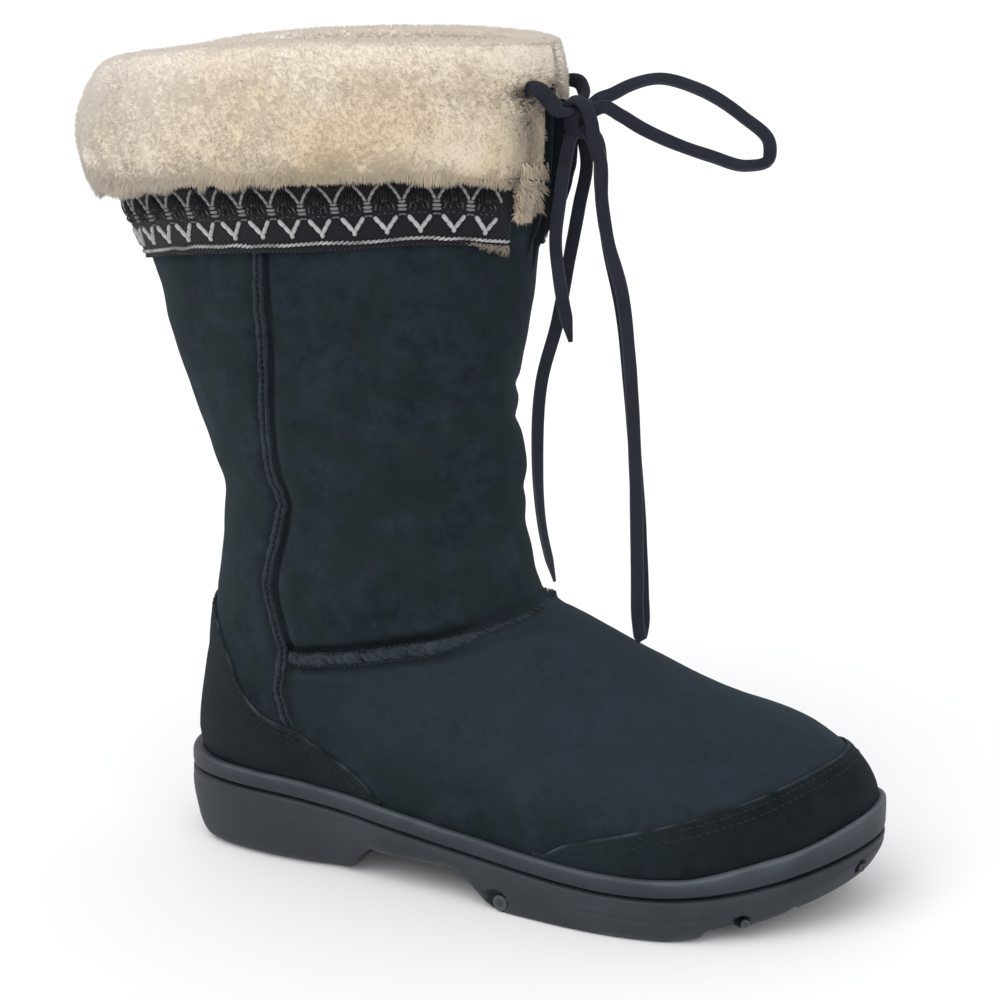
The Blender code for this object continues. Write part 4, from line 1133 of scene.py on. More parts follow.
# ---- sole
SOLE_BREAK = 0.5            # share of a channel's depth that shows at the side of the sole
HEEL_FULL = 1.6             # how far the back of the heel stands out from the sole's outline
POCKET_DEPTH = 3.2
SOLE_MIDDLE = np.array([130, WAIST_SHIFT, 0])
RIM_PROFILE = (
    # inset, height above the groove
    (2.6, 0.1), (0.6, 0.45), (0.08, 1.2), (0, 2.4), (0, 3.8), (0.06, 5.2), (0.5, 6.4), (1.4, 7),
    (2.6, 7), (3.6, 6.2), (4, 5), (4, 1))
STUD_PROFILE = np.array([
    # share of the stud's radius, place along its axis
    (1, -4), (1, -0.9), (0.93, -0.4), (0.78, -0.15), (0.62, -0.45), (0.1, -0.5)])

# Rows of the wall: turn round its foot, share of the way up, step of the lip at the groove.
WALL_ROWS = tuple((t, 0, 0) for t in np.linspace(0, pi / 2, 9)) + tuple(
    (pi / 2, s, 0) for s in np.linspace(0, 1, 22)[1:]) + (
    (pi / 2, 1, 0.5), (pi / 2, 1, 1))


def table_rows(table, count):
    """A table of section rows read smoothly at count even steps."""
    steps = np.linspace(0, len(table) - 1, count)
    return blend_weights(np.arange(len(table)), steps) @ np.array(table, float)


def fill_ring(ring, across):
    """A closed ring (2 n points) filled with a grid from its outer to its inner side."""
    half = len(ring) // 2
    outer = ring[:half + 1]
    inner = np.concatenate([ring[:1], ring[half:][::-1]])
    share = np.linspace(0, 1, across + 1)[None, :, None]
    return outer[:, None] * (1 - share) + inner[:, None] * share


class BOOT_OT_sole(bpy.types.Operator):
    """Outsole with its lugs, channels and pockets, and the rim band above the groove"""
    bl_idname = "boot.sole"
    bl_label = "Sole"

    def execute(self, context):
        colours = context.scene.boot_colours
        rubber = rubber_material(
            "sole_rubber", colours.rubber, colours.dust, (0.35, 0.12), 0.22, specular=0.3,
            tints=[("wear_and_highlight", srgb(104, 108, 112), 0.6), ("pocket_shade", srgb(8, 9, 11), 0.8)])
        # the rim's pale tint is mostly a painted highlight on its top lip and towards the toe, with some wear
        rim = rubber_material(
            "rim_rubber", colours.rim, colours.dust, (0.3, 0.1), 0.16, specular=0.35,
            tints=[("wear_and_highlight", srgb(96, 102, 110), 0.75)])
        self.outsole(rubber)
        self.rim(rim)
        return {"FINISHED"}

    def wall_rings(self, theta):
        """Rings of the side wall: a rounded foot, a wall that leans in at the heel, and the groove's lip."""
        x, y = sole_ring(theta)
        heel = fade(74, 100, x)
        radius = 2.6 + 3.8 * heel
        full = HEEL_FULL * fade(2, 30, x)
        lean = 0.8 + heel * (1 + 2 * smooth_step(6, 44, x) + 2.4 * smooth_step(56, 76, x))
        rings = []
        for turn, share, lip in WALL_ROWS:
            low = tread_height(x) + SOLE_BREAK * channel_depth(x, y)
            tall = groove_height(x) - low
            rise = radius * (1 - cos(turn)) + (tall - 1.5 - radius) * share + lip * 0.7
            bulge = 0.9 * sin(pi * share)
            inset = radius * (1 - sin(turn)) + lean * (1 - rise / tall) - bulge - full
            toe_inset = 3.2 * np.clip(1 - rise / tall, 0, 1) ** 1.5
            x_now, y_now = sole_ring(theta, inset + 2.2 * lip, toe_inset)
            low = tread_height(x_now) + SOLE_BREAK * channel_depth(x_now, y_now)
            z = low + rise * (groove_height(x_now) - low) / tall
            rings.append(np.stack([x_now, y_now, z], -1))
        return np.array(rings)

    def inwards(self, rings):
        """Level direction into the sole at each place of its wall."""
        along = np.roll(rings, -1, axis=1) - np.roll(rings, 1, axis=1)
        across = np.stack([-along[..., 1], along[..., 0], 0 * along[..., 0]], -1)
        return unit(across) * np.where((across * (SOLE_MIDDLE - rings)).sum(-1) < 0, -1, 1)[..., None]

    def pocket_places(self):
        """Centre, outward direction, pocket radius and stud radius of every round pocket."""
        places = []
        for x, height, pocket, stud, side in POCKETS:
            theta = acos(1 - 2 * x / SOLE_LENGTH) + np.array([-0.02, 0, 0.02])
            theta = theta if side < 0 else 2 * pi - theta
            ring_x, ring_y = sole_ring(theta, 0.3)
            along = np.array([ring_x[2] - ring_x[0], ring_y[2] - ring_y[0]])
            out = unit(np.array([along[1], -along[0], 0]))
            centre = np.array([ring_x[1], ring_y[1], float(tread_height(ring_x[1])) + height])
            out = out * (1 if out @ (centre - SOLE_MIDDLE) > 0 else -1)
            places.append((centre, out, pocket, stud))
        return places

    def outsole(self, rubber):
        """Wall, underside and top as grids that share their borders; pockets are pressed into the wall."""
        rings = self.wall_rings(circle(640))
        x, z = rings[..., 0], rings[..., 2]
        into = self.inwards(rings)
        clear = z - tread_height(x)
        body = smooth_step(3, 7, clear) * smooth_step(1.5, 4, groove_height(x) - z)
        mould_line = bell(clear - 9, 0.7) * smooth_step(160, 185, x) * 0.45
        heel_line = bell(groove_height(x) - z - 5.2, 0.7) * fade(60, 118, x) * 0.3
        uneven = 0.16 * noise(rings, 19, 31) + 0.05 * noise(rings, 4, 32)
        relief = (mould_line + heel_line + uneven) * body
        shade = np.zeros(x.shape)
        for centre, _, pocket, _ in self.pocket_places():
            reach = np.linalg.norm(rings - centre, axis=-1)
            hollow = fade(pocket - 1.1, pocket, reach)
            relief = relief + hollow * POCKET_DEPTH
            shade = np.maximum(shade, hollow)
        rings = rings + into * relief[..., None]
        # pale scuffs along the sole's lower edge, and a paler line just under the groove
        worn_and_lit = bell(clear - 1.2, 1.1) * (0.4 + 0.6 * noise(rings, 9, 34)) * 0.6
        worn_and_lit = np.clip(worn_and_lit + 0.25 * bell(groove_height(x) - z, 1), 0, 1)
        under = fill_ring(rings[0], 60)
        across = np.linspace(0, 1, under.shape[1])
        inside = smooth_step(0, 0.06, across) * smooth_step(0, 0.06, 1 - across)
        cut = SOLE_BREAK + (1 - SOLE_BREAK) * inside
        fresh = tread_height(under[..., 0]) + cut * channel_depth(under[..., 0], under[..., 1])
        under[..., 2] += (fresh - under[..., 2]) * np.where(inside > 0, 1, 0)
        under[..., 2] += 0.22 * noise(under, 3.2, 33) * inside
        # wear counts up from 0 and the shade of the pockets down
        wall = (rings.reshape(-1, 3), [grid_faces(*x.shape, wrap_columns=True)], worn_and_lit - 2 * shade)
        points, polygons, marks = join_parts([wall, grid_part(under), grid_part(fill_ring(rings[-1], 2))])
        values = {"wear_and_highlight": np.clip(marks, 0, 1), "pocket_shade": np.clip(-0.5 * marks, 0, 1)}
        boot_piece("sole_unit", points, polygons, rubber, "sole_rubber", "outsole", values=values, merge=0.01)
        self.studs(rubber)

    def studs(self, rubber):
        """Round studs standing in the side pockets: a dished disc profile turned about its own axis."""
        parts = []
        angle = circle(28)
        wide, deep = STUD_PROFILE.T
        # paler on the stud's raised face
        worn_and_lit = np.repeat(smooth_step(0.1, 0.85, wide) * smooth_step(-0.8, -0.3, deep), len(angle))
        for centre, out, _, stud in self.pocket_places():
            aside = np.cross(out, (0, 0, 1))
            middle = centre + aside * np.sign(aside[0]) * 1.5 - np.array([0, 0, 0.9]) - out * 0.5
            ring = np.cos(angle)[:, None] * aside + np.sin(angle)[:, None] * (0, 0, 1)
            rings = middle + out * deep[:, None, None] + stud * wide[:, None, None] * ring
            parts.append(roll_part(rings, worn_and_lit))
        points, polygons, worn_and_lit = join_parts(parts)
        boot_piece("sole_studs", points, polygons, rubber, "sole_rubber",
                   values={"wear_and_highlight": worn_and_lit, "pocket_shade": 0})

    def rim(self, rubber):
        """Rounded rim band: the outline inset by a profile that follows the rim's height."""
        theta = circle(480)
        rows = table_rows(RIM_PROFILE, 34)
        rings = []
        full = HEEL_FULL * fade(2, 30, sole_ring(theta)[0])
        for inset, height in rows:
            x, y = sole_ring(theta, inset - full * fade(1.4, 3.6, inset))
            bumper = 2.5 * smooth_step(222, 254, x) + 3 * smooth_step(258, 286, x)
            z = groove_height(x) + height + bumper * smooth_step(1.5, 6, height)
            rings.append(np.stack([x, y, z], -1))
        rings = np.array(rings)
        rings[..., 2] += 0.12 * noise(rings, 14, 41)
        # painted light: the rim grows paler towards the toe, where the light falls
        toe = 0.55 + 0.6 * smooth_step(190, 262, rings[..., 0])
        height = rows[:, 1:]
        # painted highlight along the rounded top lip and on the upper face of the band
        worn_and_lit = (bell(height - 6.6, 0.7) + 0.35 * smooth_step(2, 5.5, height)) * toe
        worn_and_lit = np.clip(worn_and_lit * (0.8 + 0.5 * noise(rings, 7, 42)), 0, 1)
        band = (rings.reshape(-1, 3), [grid_faces(*worn_and_lit.shape, wrap_columns=True)], worn_and_lit)
        points, polygons, worn_and_lit = join_parts([band, *(grid_part(fill_ring(rings[i], 2)) for i in (0, -1))])
        boot_piece("rim_band", points, polygons, rubber, "rim_rubber", "midsole",
                   values={"wear_and_highlight": worn_and_lit}, merge=0.01)


# ---- suede upper and lining
def slit_angle(level):
    """Half the slit's ring angle at a level: nothing below its foot, then a narrow V to the collar."""
    height = upper_surface(np.full(np.shape(level), pi), level)[..., 2]
    open_share = np.clip((height - SLIT_FOOT_Z) / (SLIT_TOP_Z - SLIT_FOOT_Z), 0, 1.2)
    half = np.where(open_share > 0, 1.6 + 4.9 * open_share, 0) * smooth_step(0, 0.06, open_share)
    return half / 51


def wall_shell(theta_count, levels, outer_at, inner_at):
    """A wall open at the slit: outer grid, inner grid, and strips round their shared border.

    outer_at and inner_at give points for grids of ring angle and level.
    """
    share = np.linspace(0, 1, theta_count)[None, :]
    gap = slit_angle(levels)[:, None]
    theta = pi + gap + (2 * pi - 2 * gap) * share
    level = np.broadcast_to(levels[:, None], theta.shape)
    outer, inner = outer_at(theta, level), inner_at(theta, level)
    rows, columns = theta.shape
    size = rows * columns
    faces = [grid_faces(rows, columns), grid_faces(rows, columns)[:, ::-1] + size]
    slit_rows = np.nonzero(slit_angle(levels) > 0)[0]
    first = slit_rows[0] - 1
    for column, order in ((0, 1), (columns - 1, -1)):
        low = np.arange(first, rows - 1) * columns + column
        faces.append(np.stack([low, low + columns, low + columns + size, low + size], -1)[:, ::order])
    for row, order in ((0, 1), (rows - 1, -1)):
        low = row * columns + np.arange(columns - 1)
        faces.append(np.stack([low, low + size, low + size + 1, low + 1], -1)[:, ::order])
    return np.concatenate([outer.reshape(-1, 3), inner.reshape(-1, 3)]), faces, theta, level


FACING_HEIGHTS = (243, 253, 260, 270, 282, 292, 299, 303.5)
FACING_REACH = (-2.6, 2.2, 5.8, 8.8, 10.4, 10.4, 9, 5.5)   # how far the inner facing stands out there


class BOOT_OT_upper(bpy.types.Operator):
    """Suede foot and shaft with folds, and the fleece inside"""
    bl_idname = "boot.upper"
    bl_label = "Upper"

    def execute(self, context):
        colours = context.scene.boot_colours
        self.suede(colours)
        self.lining(colours)
        self.footbed(colours)
        return {"FINISHED"}

    def suede(self, colours):
        """Foot and shaft in one wall, with a paler brushed tone on the foot; painted shade darkens the
        valleys beside the seams and the suede just above the rim.
        """
        mat = nap_material(
            "suede", colours.suede_dark, colours.suede_light, colours.suede_cast, (0.6, 0.35), 0.48,
            sheen=0.08, sheen_tint=srgb(150, 172, 185), specular=0.1,
            tints=[("foot_nap_and_shade", colours.foot_light, 0.6), ("painted_shade", srgb(6, 8, 12), 0.85)])
        levels = np.linspace(0, 1, 150) ** 0.92

        def skin_at(offset):
            """A face of the suede whose lowest row stands inside the rim."""
            def points_at(theta, level):
                points = boot_skin(theta, level, offset)
                points[0, :, 2] = rim_height(points[0, :, 0]) - 2
                return points
            return points_at

        points, faces, theta, level = wall_shell(236, levels, skin_at(0), skin_at(-SUEDE))
        base = upper_surface(theta, level)
        valley, above = seam_profile(base)
        # painted shade in the valleys beside the seams
        shade = np.clip((np.maximum(valley, 0) + above) / 1.8, 0, 1) ** 1.3
        foot = smooth_step(54, 60, base[..., 0]) * smooth_step(
            -1, 2, -line_distance(base[..., [0, 2]], VAMP_SEAM))
        # the paler foot tone grows towards the front and top of the foot
        foot = foot * (0.2 + 0.8 * smooth_step(66, 150, base[..., 0] + 0.4 * base[..., 2]))
        above_rim = base[..., 2] - rim_height(base[..., 0])
        # the paler foot tone fades out towards the rim: partly the nap, partly painted shade low on the foot
        foot = foot * (0.1 + 0.9 * smooth_step(4, 36, above_rim))
        # painted shade on the suede just above the rim
        shade = np.maximum(shade, 0.22 * fade(2, 30, above_rim))
        values = {"painted_shade": both(shade, 0), "foot_nap_and_shade": both(foot)}
        boot_piece("suede_upper", points, faces, mat, "suede", "upper", values=values, merge=0.02)
        self.gusset(mat)
        self.facings(mat)

    def gusset(self, mat):
        """Suede set behind the slit: a strip that follows the wall, a little behind both edges."""
        level = level_at_height(np.linspace(SLIT_FOOT_Z - 4, 303, 60))
        reach = slit_angle(level) + 0.03
        share = np.linspace(-1, 1, 30)[None, :]
        theta = 3 * pi + reach[:, None] * share
        level = np.broadcast_to(level[:, None], theta.shape)
        base = upper_surface(theta, level)
        sink = -SUEDE - 0.2 - 0.9 * (1 - share ** 2) + 0.25 * noise(base, 6, 55)
        normal = upper_normal(theta, level)
        points, faces = shell_of(base + normal * sink[..., None], base + normal * (sink - 1.2)[..., None])
        # painted shade on the suede behind the slit
        boot_piece("slit_gusset", points, faces, mat, "suede",
                   values={"foot_nap_and_shade": 0, "painted_shade": 0.35}, merge=0.01)

    def facings(self, mat):
        """Suede bindings of the slit: a sheet along each end of the cuff, standing out from the front."""
        height = np.linspace(FACING_HEIGHTS[0], FACING_HEIGHTS[-1], 54)[:, None]
        across = np.linspace(0, 1, 20)[None, :]
        fronts = upper_surface(np.full(200, pi), np.linspace(0, 1, 200))
        front = np.interp(height, fronts[:, 2], fronts[:, 0])
        for name, side, share in (("slit_facing_inner", 1, 1), ("slit_facing_outer", -1, 0.45)):
            out = share * curve_value(FACING_HEIGHTS, FACING_REACH, height)
            x = front - 7 + (7 + out) * across
            y = side * (3.4 + 1.6 * across ** 2) + 0 * x
            sheet = np.stack([x, y, height + 0 * x], -1)
            sheet[..., 1] += 0.5 * noise(sheet, 9, 56) + 0.2 * noise(sheet, 3, 57)
            sheet[..., 0] += 0.35 * noise(sheet, 5, 58) * across
            back = sheet + np.array([-0.3, side * 1.3, 0])
            points, faces = shell_of(sheet, back)
            # painted shade on the slit's bindings
            boot_piece(name, points, faces, mat, "suede",
                       values={"foot_nap_and_shade": 0, "painted_shade": 0.25}, merge=0.01)

    def lining(self, colours):
        """Fleece inside the suede, uneven on its inner face."""
        mat = wool_material("fleece_lining", colours, (1, 2), 0.75, 0.6)
        levels = np.linspace(0.004, 0.995, 74)

        def outer_at(theta, level):
            return boot_skin(theta, level, -SUEDE - 0.15)

        def inner_at(theta, level):
            base = upper_surface(theta, level)
            depth = -WALL + 1.2 * noise(base, 7, 51) + 0.7 * noise(base, 3, 52)
            return base + upper_normal(theta, level) * depth[..., None]

        points, faces, _, _ = wall_shell(124, levels, outer_at, inner_at)
        boot_piece("fleece_lining", points, faces, mat, "fleece_lining", merge=0.02)

    def footbed(self, colours):
        """Footbed: the sole's outline inside the fleece, crowned a little, closed all round."""
        mat = wool_material("footbed_fleece", colours, (1, 1.5), 0.6, 0.4)
        theta = circle(120)
        base = upper_surface(theta, 0) - upper_normal(theta, 0 * theta) * (WALL + 0.6)
        grids = []
        for height in (0.4, 5.2):
            ring = base.copy()
            ring[:, 2] = rim_height(ring[:, 0]) - CUP_DEPTH + height
            grid = fill_ring(ring, 24)
            if height > 1:
                grid[..., 2] += 0.5 * noise(grid, 6, 61)
            grids.append(grid)
        rows, columns = grids[0].shape[:2]
        size = rows * columns
        loop = np.concatenate([np.arange(rows) * columns, ((np.arange(rows) + 1) * columns - 1)[::-1]])
        following = np.roll(loop, -1)
        wall = np.stack([loop, following, following + size, loop + size], -1)
        faces = [grid_faces(rows, columns)[:, ::-1], grid_faces(rows, columns) + size, wall]
        points = np.concatenate([g.reshape(-1, 3) for g in grids])
        boot_piece("footbed", points, faces, mat, "fleece_lining", "insole", merge=0.02)


# ---- overlays, seams, stitches
def overlay_edges(kind):
    """Ring angles and the lower and upper levels of an overlay."""
    if kind == "heel":
        middle, span, stations, heights = 0, COUNTER_SPAN, COUNTER_STATIONS, COUNTER_HEIGHTS
    else:
        middle, span, stations, heights = pi, CAP_SPAN, CAP_STATIONS, CAP_HEIGHTS
    half = radians(span)
    theta = np.linspace(middle - half, middle + half, 221)
    low = edge_level(theta, lambda x: rim_height(x) - 0.8)
    top = edge_level(theta, lambda x: curve_value(stations, heights, x))
    return theta, low, np.maximum(top, low + 0.004)


def surface_stitches(theta, level, across, out, pitch, stitch, radius, slant=0, taper=None):
    """Stitches lying along a line on the skin, given by arrays of ring angle and level.

    Each is a short arched capsule; slant turns it from along the line to across it, and taper gives
    its size at each place.
    """
    line = boot_skin(theta, level, out)
    normal = upper_normal(theta, level)
    run = arc_length(line)
    at = np.arange(pitch / 2, run[-1], pitch)
    middle = sample(at, run, line)
    normal = unit(sample(at, run, normal))
    along = unit(sample(at, run, np.gradient(line, run, axis=0)))
    side = np.cross(along, normal)
    direction = along * cos(slant) + side * sin(slant)
    reach = np.linspace(-0.5, 0.5, 6)
    size = (np.ones(len(at)) if taper is None else taper(middle))[:, None]
    arch = radius * (1.1 - 6 * reach ** 2) * size
    lines = (middle[:, None] + side[:, None] * (across * size)[:, None]
             + direction[:, None] * (stitch * reach * size)[..., None] + normal[:, None] * arch[..., None])
    radii = radius * np.array([0.55, 0.9, 1, 1, 0.9, 0.55]) * size
    return tubes(lines, radii, 6, normal[:, None])


def foot_seam_size(place_at):
    """The foot seam grows finer towards the front of the ankle."""
    return 1 - 0.48 * smooth_step(112, 148, place_at[..., 0])


def side_seam_size(place_at):
    """The side seam sinks away under the heel overlay."""
    return 0.25 + 0.75 * smooth_step(57, 63, place_at[..., 2])


class BOOT_OT_overlays(bpy.types.Operator):
    """Toe and heel overlays with their stitching"""
    bl_idname = "boot.overlays"
    bl_label = "Overlays"

    def execute(self, context):
        colours = context.scene.boot_colours
        thick = context.scene.boot_sizes.overlay_thick / MM
        # the brushed tint also paints light and shade across the toe cap
        mat = nap_material(
            "overlay_suede", colours.overlay_dark, colours.overlay_light, srgb(20, 27, 29), (0.6, 0.35), 0.36,
            sheen=0.08, sheen_tint=srgb(140, 150, 170), specular=0.1,
            tints=[("brushed", srgb(34, 43, 48), 0.6), ("raw_edge_and_highlight", srgb(84, 90, 97), 0.45)])
        thread = thread_material("overlay_thread", srgb(10, 13, 16), srgb(26, 30, 35), (0.6, 0.2))
        for kind, cad_node in (("heel", "heel_counter"), ("toe", "toe_cap")):
            self.patch(kind, cad_node, thick, mat)
            self.stitching(kind, thick, thread)
        return {"FINISHED"}

    def patch(self, kind, cad_node, thick, mat):
        """Skin over the upper: its stand-off falls away in a round edge near its upper border."""
        theta, low, top = overlay_edges(kind)
        share = 1 - np.linspace(1, 0, 40)[:, None] ** 1.6
        level = low + (top - low) * share
        grid = np.broadcast_to(theta, level.shape)
        base = upper_surface(grid, level)
        to_edge = np.linalg.norm(base - base[-1:], axis=-1)
        round_over = np.sqrt(np.clip(1 - (1 - np.clip(to_edge / 0.9, 0, 1)) ** 2, 0, 1))
        fray = (0.25 * noise(base, 1.8, 71) + 0.2 * noise(base, 5, 73)) * bell(to_edge, 1.5)
        far = boot_skin(grid, level, 0.35 + (thick - 0.35) * round_over + fray)
        near = boot_skin(grid, level, 0.15)
        # pale raw edge along the upper border, partly a painted highlight
        raw = bell(to_edge - 0.2, 0.65) * np.clip(0.4 + 0.9 * noise(base, 5, 72), 0, 1)
        # painted light on the toe cap: paler towards its back, darker at the tip; the heel counter has one
        # even brushed tone
        lit = fade(176, 250, base[..., 0]) if kind == "toe" else 0.35 + 0 * raw
        values = {"raw_edge_and_highlight": both(raw, 0), "brushed": both(lit)}
        points, faces = shell_of(far, near)
        boot_piece(kind + "_overlay", points, faces, mat, "dark_suede", cad_node, values=values, merge=0.01)

    def stitching(self, kind, thick, thread):
        """Two rows of stitches below the overlay's upper edge, where it is tall enough for them."""
        theta, low, top = overlay_edges(kind)
        tall = upper_surface(theta, top)[:, 2] - upper_surface(theta, low)[:, 2] > 7
        theta, top = theta[tall], top[tall]
        step = (level_of("wall") - level_of("welt")) / 8
        parts = [surface_stitches(theta, top - step * inset, 0, thick - 0.15, 3.1, 2, 0.25)
                 for inset in (2, 4.4)]
        boot_piece(kind + "_stitches", *join_parts(parts)[:2], thread, "dark_suede")


class BOOT_OT_seams(bpy.types.Operator):
    """Raised seams of the shaft and over the foot, whipped with thread"""
    bl_idname = "boot.seams"
    bl_label = "Seams"

    def execute(self, context):
        sizes = context.scene.boot_sizes
        # the ridges' pale colour is partly the raw suede edges and partly a painted highlight on their tops
        suede = nap_material(
            "seam_suede", srgb(26, 31, 38), srgb(66, 73, 82), srgb(46, 54, 58), (0.9, 0.6), 0.4,
            sheen=0.1, sheen_tint=srgb(150, 160, 180), specular=0.1)
        thread = thread_material("seam_thread", srgb(9, 11, 15), srgb(30, 34, 41), (0.6, 0.2))
        pitch = sizes.stitch_pitch / MM
        seam_width = sizes.seam_width / MM
        for side, name in ((-1, "side_seam_outer"), (1, "side_seam_inner")):
            line = smooth_line(SIDE_SEAM, 0.7)
            theta, level = find_on_side(line[:, 0], line[:, 1], side)
            # a broad rough lip behind, a thin one in front, and the stitches sunk between them
            self.ridges(name, theta, level, ((-1.5 * side, 1.9, 1.15), (1 * side, 1.15, 0.95)), suede,
                        side_seam_size)
            sunk = surface_stitches(
                theta, level, -0.1 * side, 0.2, pitch * 0.9, 1.5, 0.36, 1, side_seam_size)
            self.threads(name, [sunk], thread)
        line = smooth_line(VAMP_SEAM, 0.8)
        outer = find_on_side(line[:, 0], line[:, 1], -1)
        inner = find_on_side(line[::-1, 0], line[::-1, 1], 1)
        theta, level = (np.concatenate([a, b[1:]]) for a, b in zip(outer, inner))
        self.ridges("foot_seam", theta, level, ((0, seam_width, 1.2),), suede, foot_seam_size)
        self.whips(theta, level, seam_width, pitch, suede)
        edges = [surface_stitches(theta, level, across * seam_width * 0.58, 0.2, pitch * 0.8, 1.3, 0.32, 0,
                                  foot_seam_size) for across in (-1, 1)]
        self.threads("foot_seam", edges, thread)
        return {"FINISHED"}

    def threads(self, name, parts, thread):
        """Rows of stitches as one piece."""
        boot_piece(name + "_thread", *join_parts(parts)[:2], thread, "suede")

    def whips(self, theta, level, width, pitch, suede):
        """Fat soft turns lying aslant over the rib, as the edges of the skins are whipped together."""
        points, polygons, _ = surface_stitches(
            theta, level, 0, 0.6, pitch * 1.35, width, 0.85, 0.80, foot_seam_size)
        points = points + 0.24 * noise3(points, 1.6, 85)
        boot_piece("foot_seam_turns", points, polygons, suede, "suede")

    def ridges(self, name, theta, level, ribs, suede, taper):
        """Half-round ribs along the skin, roughened like raw suede edges.

        Each rib is (distance across the seam, width, height); taper gives the seam's size at a place.
        """
        line = boot_skin(theta, level, -0.6)
        padded = np.pad(line, ((3, 3), (0, 0)), "edge")
        line = np.stack([np.convolve(column, np.ones(7) / 7, "valid") for column in padded.T], -1)
        normal = upper_normal(theta, level)
        side = np.cross(unit(np.gradient(line, axis=0)), normal)
        size = taper(line)
        angle = np.linspace(0, pi, 11)
        parts = []
        for across, width, height in ribs:
            shift = across + (0.45 * noise(line, 3.2, 83) if len(ribs) > 1 else 0)
            arch = np.stack([width / 2 * np.cos(angle), (height + 0.6) * np.sin(angle) ** 0.8], -1)
            profile = np.concatenate([arch, [(-width / 2, -0.5), (width / 2, -0.5)]])
            rough = 1 + 0.26 * noise(line + across, 1.9, 82) + 0.18 * noise(line, 7, 81)
            middle = line + side * np.reshape(shift, (-1, 1))
            points, polygons, _ = sweep(middle, normal, profile, 0, rough * size)
            parts.append((points + 0.13 * noise3(points, 1.3, 87), polygons, 0))
        boot_piece(name, *join_parts(parts)[:2], suede, "suede")


# ---- braid band
BAND_SHORT = 0.30           # ring angle by which the band ends short of the slit on the outer side
BAND_DIP_ANGLES = (-3.2, -2, -0.6, 0, 0.9, 1.45, 1.75, 2, 2.2, 2.45, 2.65, 3.1)  # from the back
BAND_DIP = (0, 0, -0.5, -2, -2.9, -3.6, -3.2, -1.6, 0, 0.8, 0.2, -0.8)         # millimetres


def band_dip(theta):
    """How far the sewn band strays up or down from its level line, by ring angle."""
    return curve_value(BAND_DIP_ANGLES, BAND_DIP, np.asarray(theta) - 2 * pi)


def band_angles(count):
    """Ring angles of the band from the outer edge of the slit round the back to the inner edge."""
    gap = float(slit_angle(band_level(BAND_WIDTH / 2))) + 0.012
    return np.linspace(pi + gap, 3 * pi - gap - BAND_SHORT, count)


def band_run():
    """Arc length along the band's middle, and its ring angles, for turning one into the other."""
    theta = band_angles(600)
    return arc_length(upper_surface(theta, band_level(BAND_WIDTH / 2))), theta


def band_point(along, up, out):
    """Place on the band: millimetres along it, up it, and out from the upper."""
    theta = np.interp(along, *band_run())
    theta, level = np.broadcast_arrays(theta, band_level(np.asarray(up) + band_dip(theta)))
    return upper_surface(theta, level) + upper_normal(theta, level) * np.asarray(out)[..., None]


def yarn_strokes(along, up, arch, thick):
    """Capsules of yarn arched over the band, one for each row of places along it and up it."""
    up = np.broadcast_to(up, along.shape)
    lift = arch * np.sin(pi * np.linspace(0, 1, along.shape[1]))
    lines = band_point(along, up, np.broadcast_to(1.95 + lift, along.shape))
    normal = unit(band_point(along, up, np.full(along.shape, 3))
                  - band_point(along, up, np.full(along.shape, 1)))
    radii = np.broadcast_to(thick * np.array([0.6, 0.95, 1, 1, 0.95, 0.6]), along.shape)
    return tubes(lines, radii, 6, normal)[:2]


